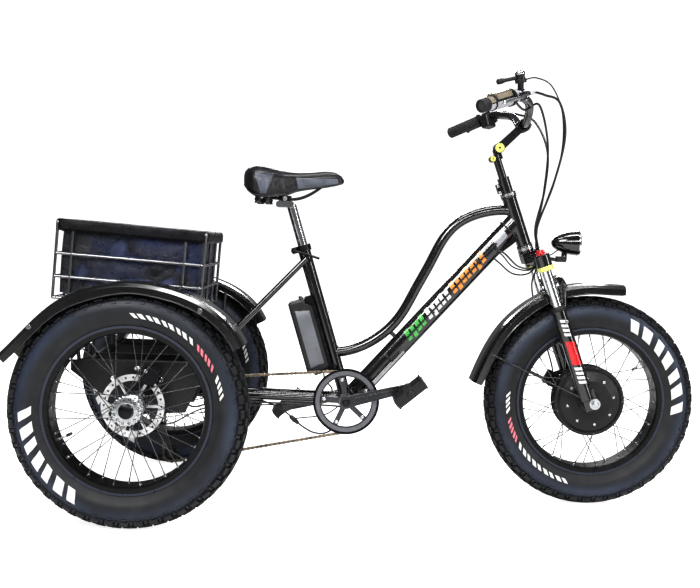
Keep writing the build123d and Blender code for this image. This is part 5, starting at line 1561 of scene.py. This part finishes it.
# ---------------------------------------------------------------- stage
def area(name, place, target, size, power):
    """A rectangular light that faces a target."""
    light = bpy.data.lights.new(name, "AREA")
    light.shape = "RECTANGLE"
    light.size, light.size_y = size
    light.energy = power
    obj = bpy.data.objects.new(name, light)
    obj.location = place
    obj.rotation_euler = (Vector(target) - Vector(place)).to_track_quat("-Z", "Y").to_euler()
    bpy.context.scene.collection.objects.link(obj)


def floor():
    """A pale floor that fades to white away from the tricycle, as the camera sees it."""
    mesh = bpy.data.meshes.new("floor")
    size = 40.0
    corners = [(-size, -size, 0), (size, -size, 0), (size, size, 0), (-size, size, 0)]
    mesh.from_pydata(corners, [], [(0, 1, 2, 3)])
    p = Paint("pale_floor")
    p.set(Base_Color=p.mix(p.noise(2, 3), (0.9, 0.9, 0.9), (0.93, 0.93, 0.93)), Roughness=0.7)
    reach = p.node("VectorMath", operation="LENGTH")
    p.link(p.coord, reach.inputs[0])
    glow = p.ramp(reach.outputs["Value"], 1.0, 2.6, 0.72, 1.0)
    seen = p.node("LightPath").outputs["Is Camera Ray"]
    p.set(Emission_Color=(1, 1, 1), Emission_Strength=p.maths("MULTIPLY", glow, seen))
    mesh.materials.append(p.material)
    obj = bpy.data.objects.new("floor", mesh)
    bpy.context.scene.collection.objects.link(obj)


def studio():
    """A white room for the camera, a dim one for reflections, and soft strips that edge the paint."""
    world = bpy.data.worlds.new("studio")
    bpy.context.scene.world = world
    world.use_nodes = True
    tree = world.node_tree
    back = tree.nodes["Background"]
    seen = tree.nodes.new("ShaderNodeBackground")
    seen.inputs["Color"].default_value = (1, 1, 1, 1)
    back.inputs["Color"].default_value = (0.95, 0.97, 1.0, 1)
    back.inputs["Strength"].default_value = 0.13
    rays = tree.nodes.new("ShaderNodeLightPath")
    mix = tree.nodes.new("ShaderNodeMixShader")
    tree.links.new(rays.outputs["Is Camera Ray"], mix.inputs[0])
    tree.links.new(back.outputs[0], mix.inputs[1])
    tree.links.new(seen.outputs[0], mix.inputs[2])
    tree.links.new(mix.outputs[0], tree.nodes["World Output"].inputs[0])
    area("key", (-1.6, -3.2, 2.8), (0, 0, 0.4), (1.2, 1.2), 85)
    area("strip_side", (0.6, -3.5, 2.15), (0.1, 0, 0.6), (2.8, 0.18), 52)
    area("strip_front", (3.0, -1.6, 1.7), (0.1, 0, 0.6), (0.25, 2.4), 34)
    area("top", (0.1, -0.4, 3.4), (0, 0, 0.5), (2.6, 0.35), 60)
    area("back_rim", (0.2, 3.4, 2.2), (0, 0, 0.5), (3.0, 0.3), 45)
    bpy.context.scene.view_settings.view_transform = "Standard"
    bpy.context.scene.view_settings.look = "Medium High Contrast"
    bpy.context.scene.view_settings.exposure = 0.0


def camera():
    """The main view: nearly square to the right side, a little from above."""
    yaw, pitch, roll = radians(1.165), radians(3.145), radians(1.865)
    forward = Vector((sin(yaw) * cos(pitch), cos(yaw) * cos(pitch), -sin(pitch)))
    level = Vector((cos(yaw), -sin(yaw), 0))
    upright = level.cross(forward)
    right = level * cos(roll) + upright * sin(roll)
    up = upright * cos(roll) - level * sin(roll)
    data = bpy.data.cameras.new("camera")
    data.sensor_width = 36.0
    data.lens = 51.29
    obj = bpy.data.objects.new("camera", data)
    rotation = Matrix((right, up, -forward)).transposed()
    obj.matrix_world = Matrix.Translation(at(485.3, -2818.8, 732.3)) @ rotation.to_4x4()
    bpy.context.scene.collection.objects.link(obj)
    bpy.context.scene.camera = obj


# ---------------------------------------------------------------- build
paint_cad()
wheels()
chain()
crank_details()
pedal_details("right", "right_pedal_body", -1)
pedal_details("left", "left_pedal_body", 1)
frame_graphics()
frame_welds()
fasteners()
fender_lips()
bag()
saddle()
post_details()
battery()
fork_details()
crown_details()
stem_details()
lamp()
grip("left_rubber_grip", "left_grip", "cockpit", 1, 4, 122, 16)
grip("twist_grip", "throttle_grip", "throttle", -1, 75.2, 122, 16.6)
lever("right_lever_blade", "right_brake_lever", "right_lever", -1, alloy)
lever("left_lever_blade", "left_brake_lever", "left_lever", 1, black_alloy)
cockpit_details()
shifter_pad()
cables()
floor()
studio()
camera()
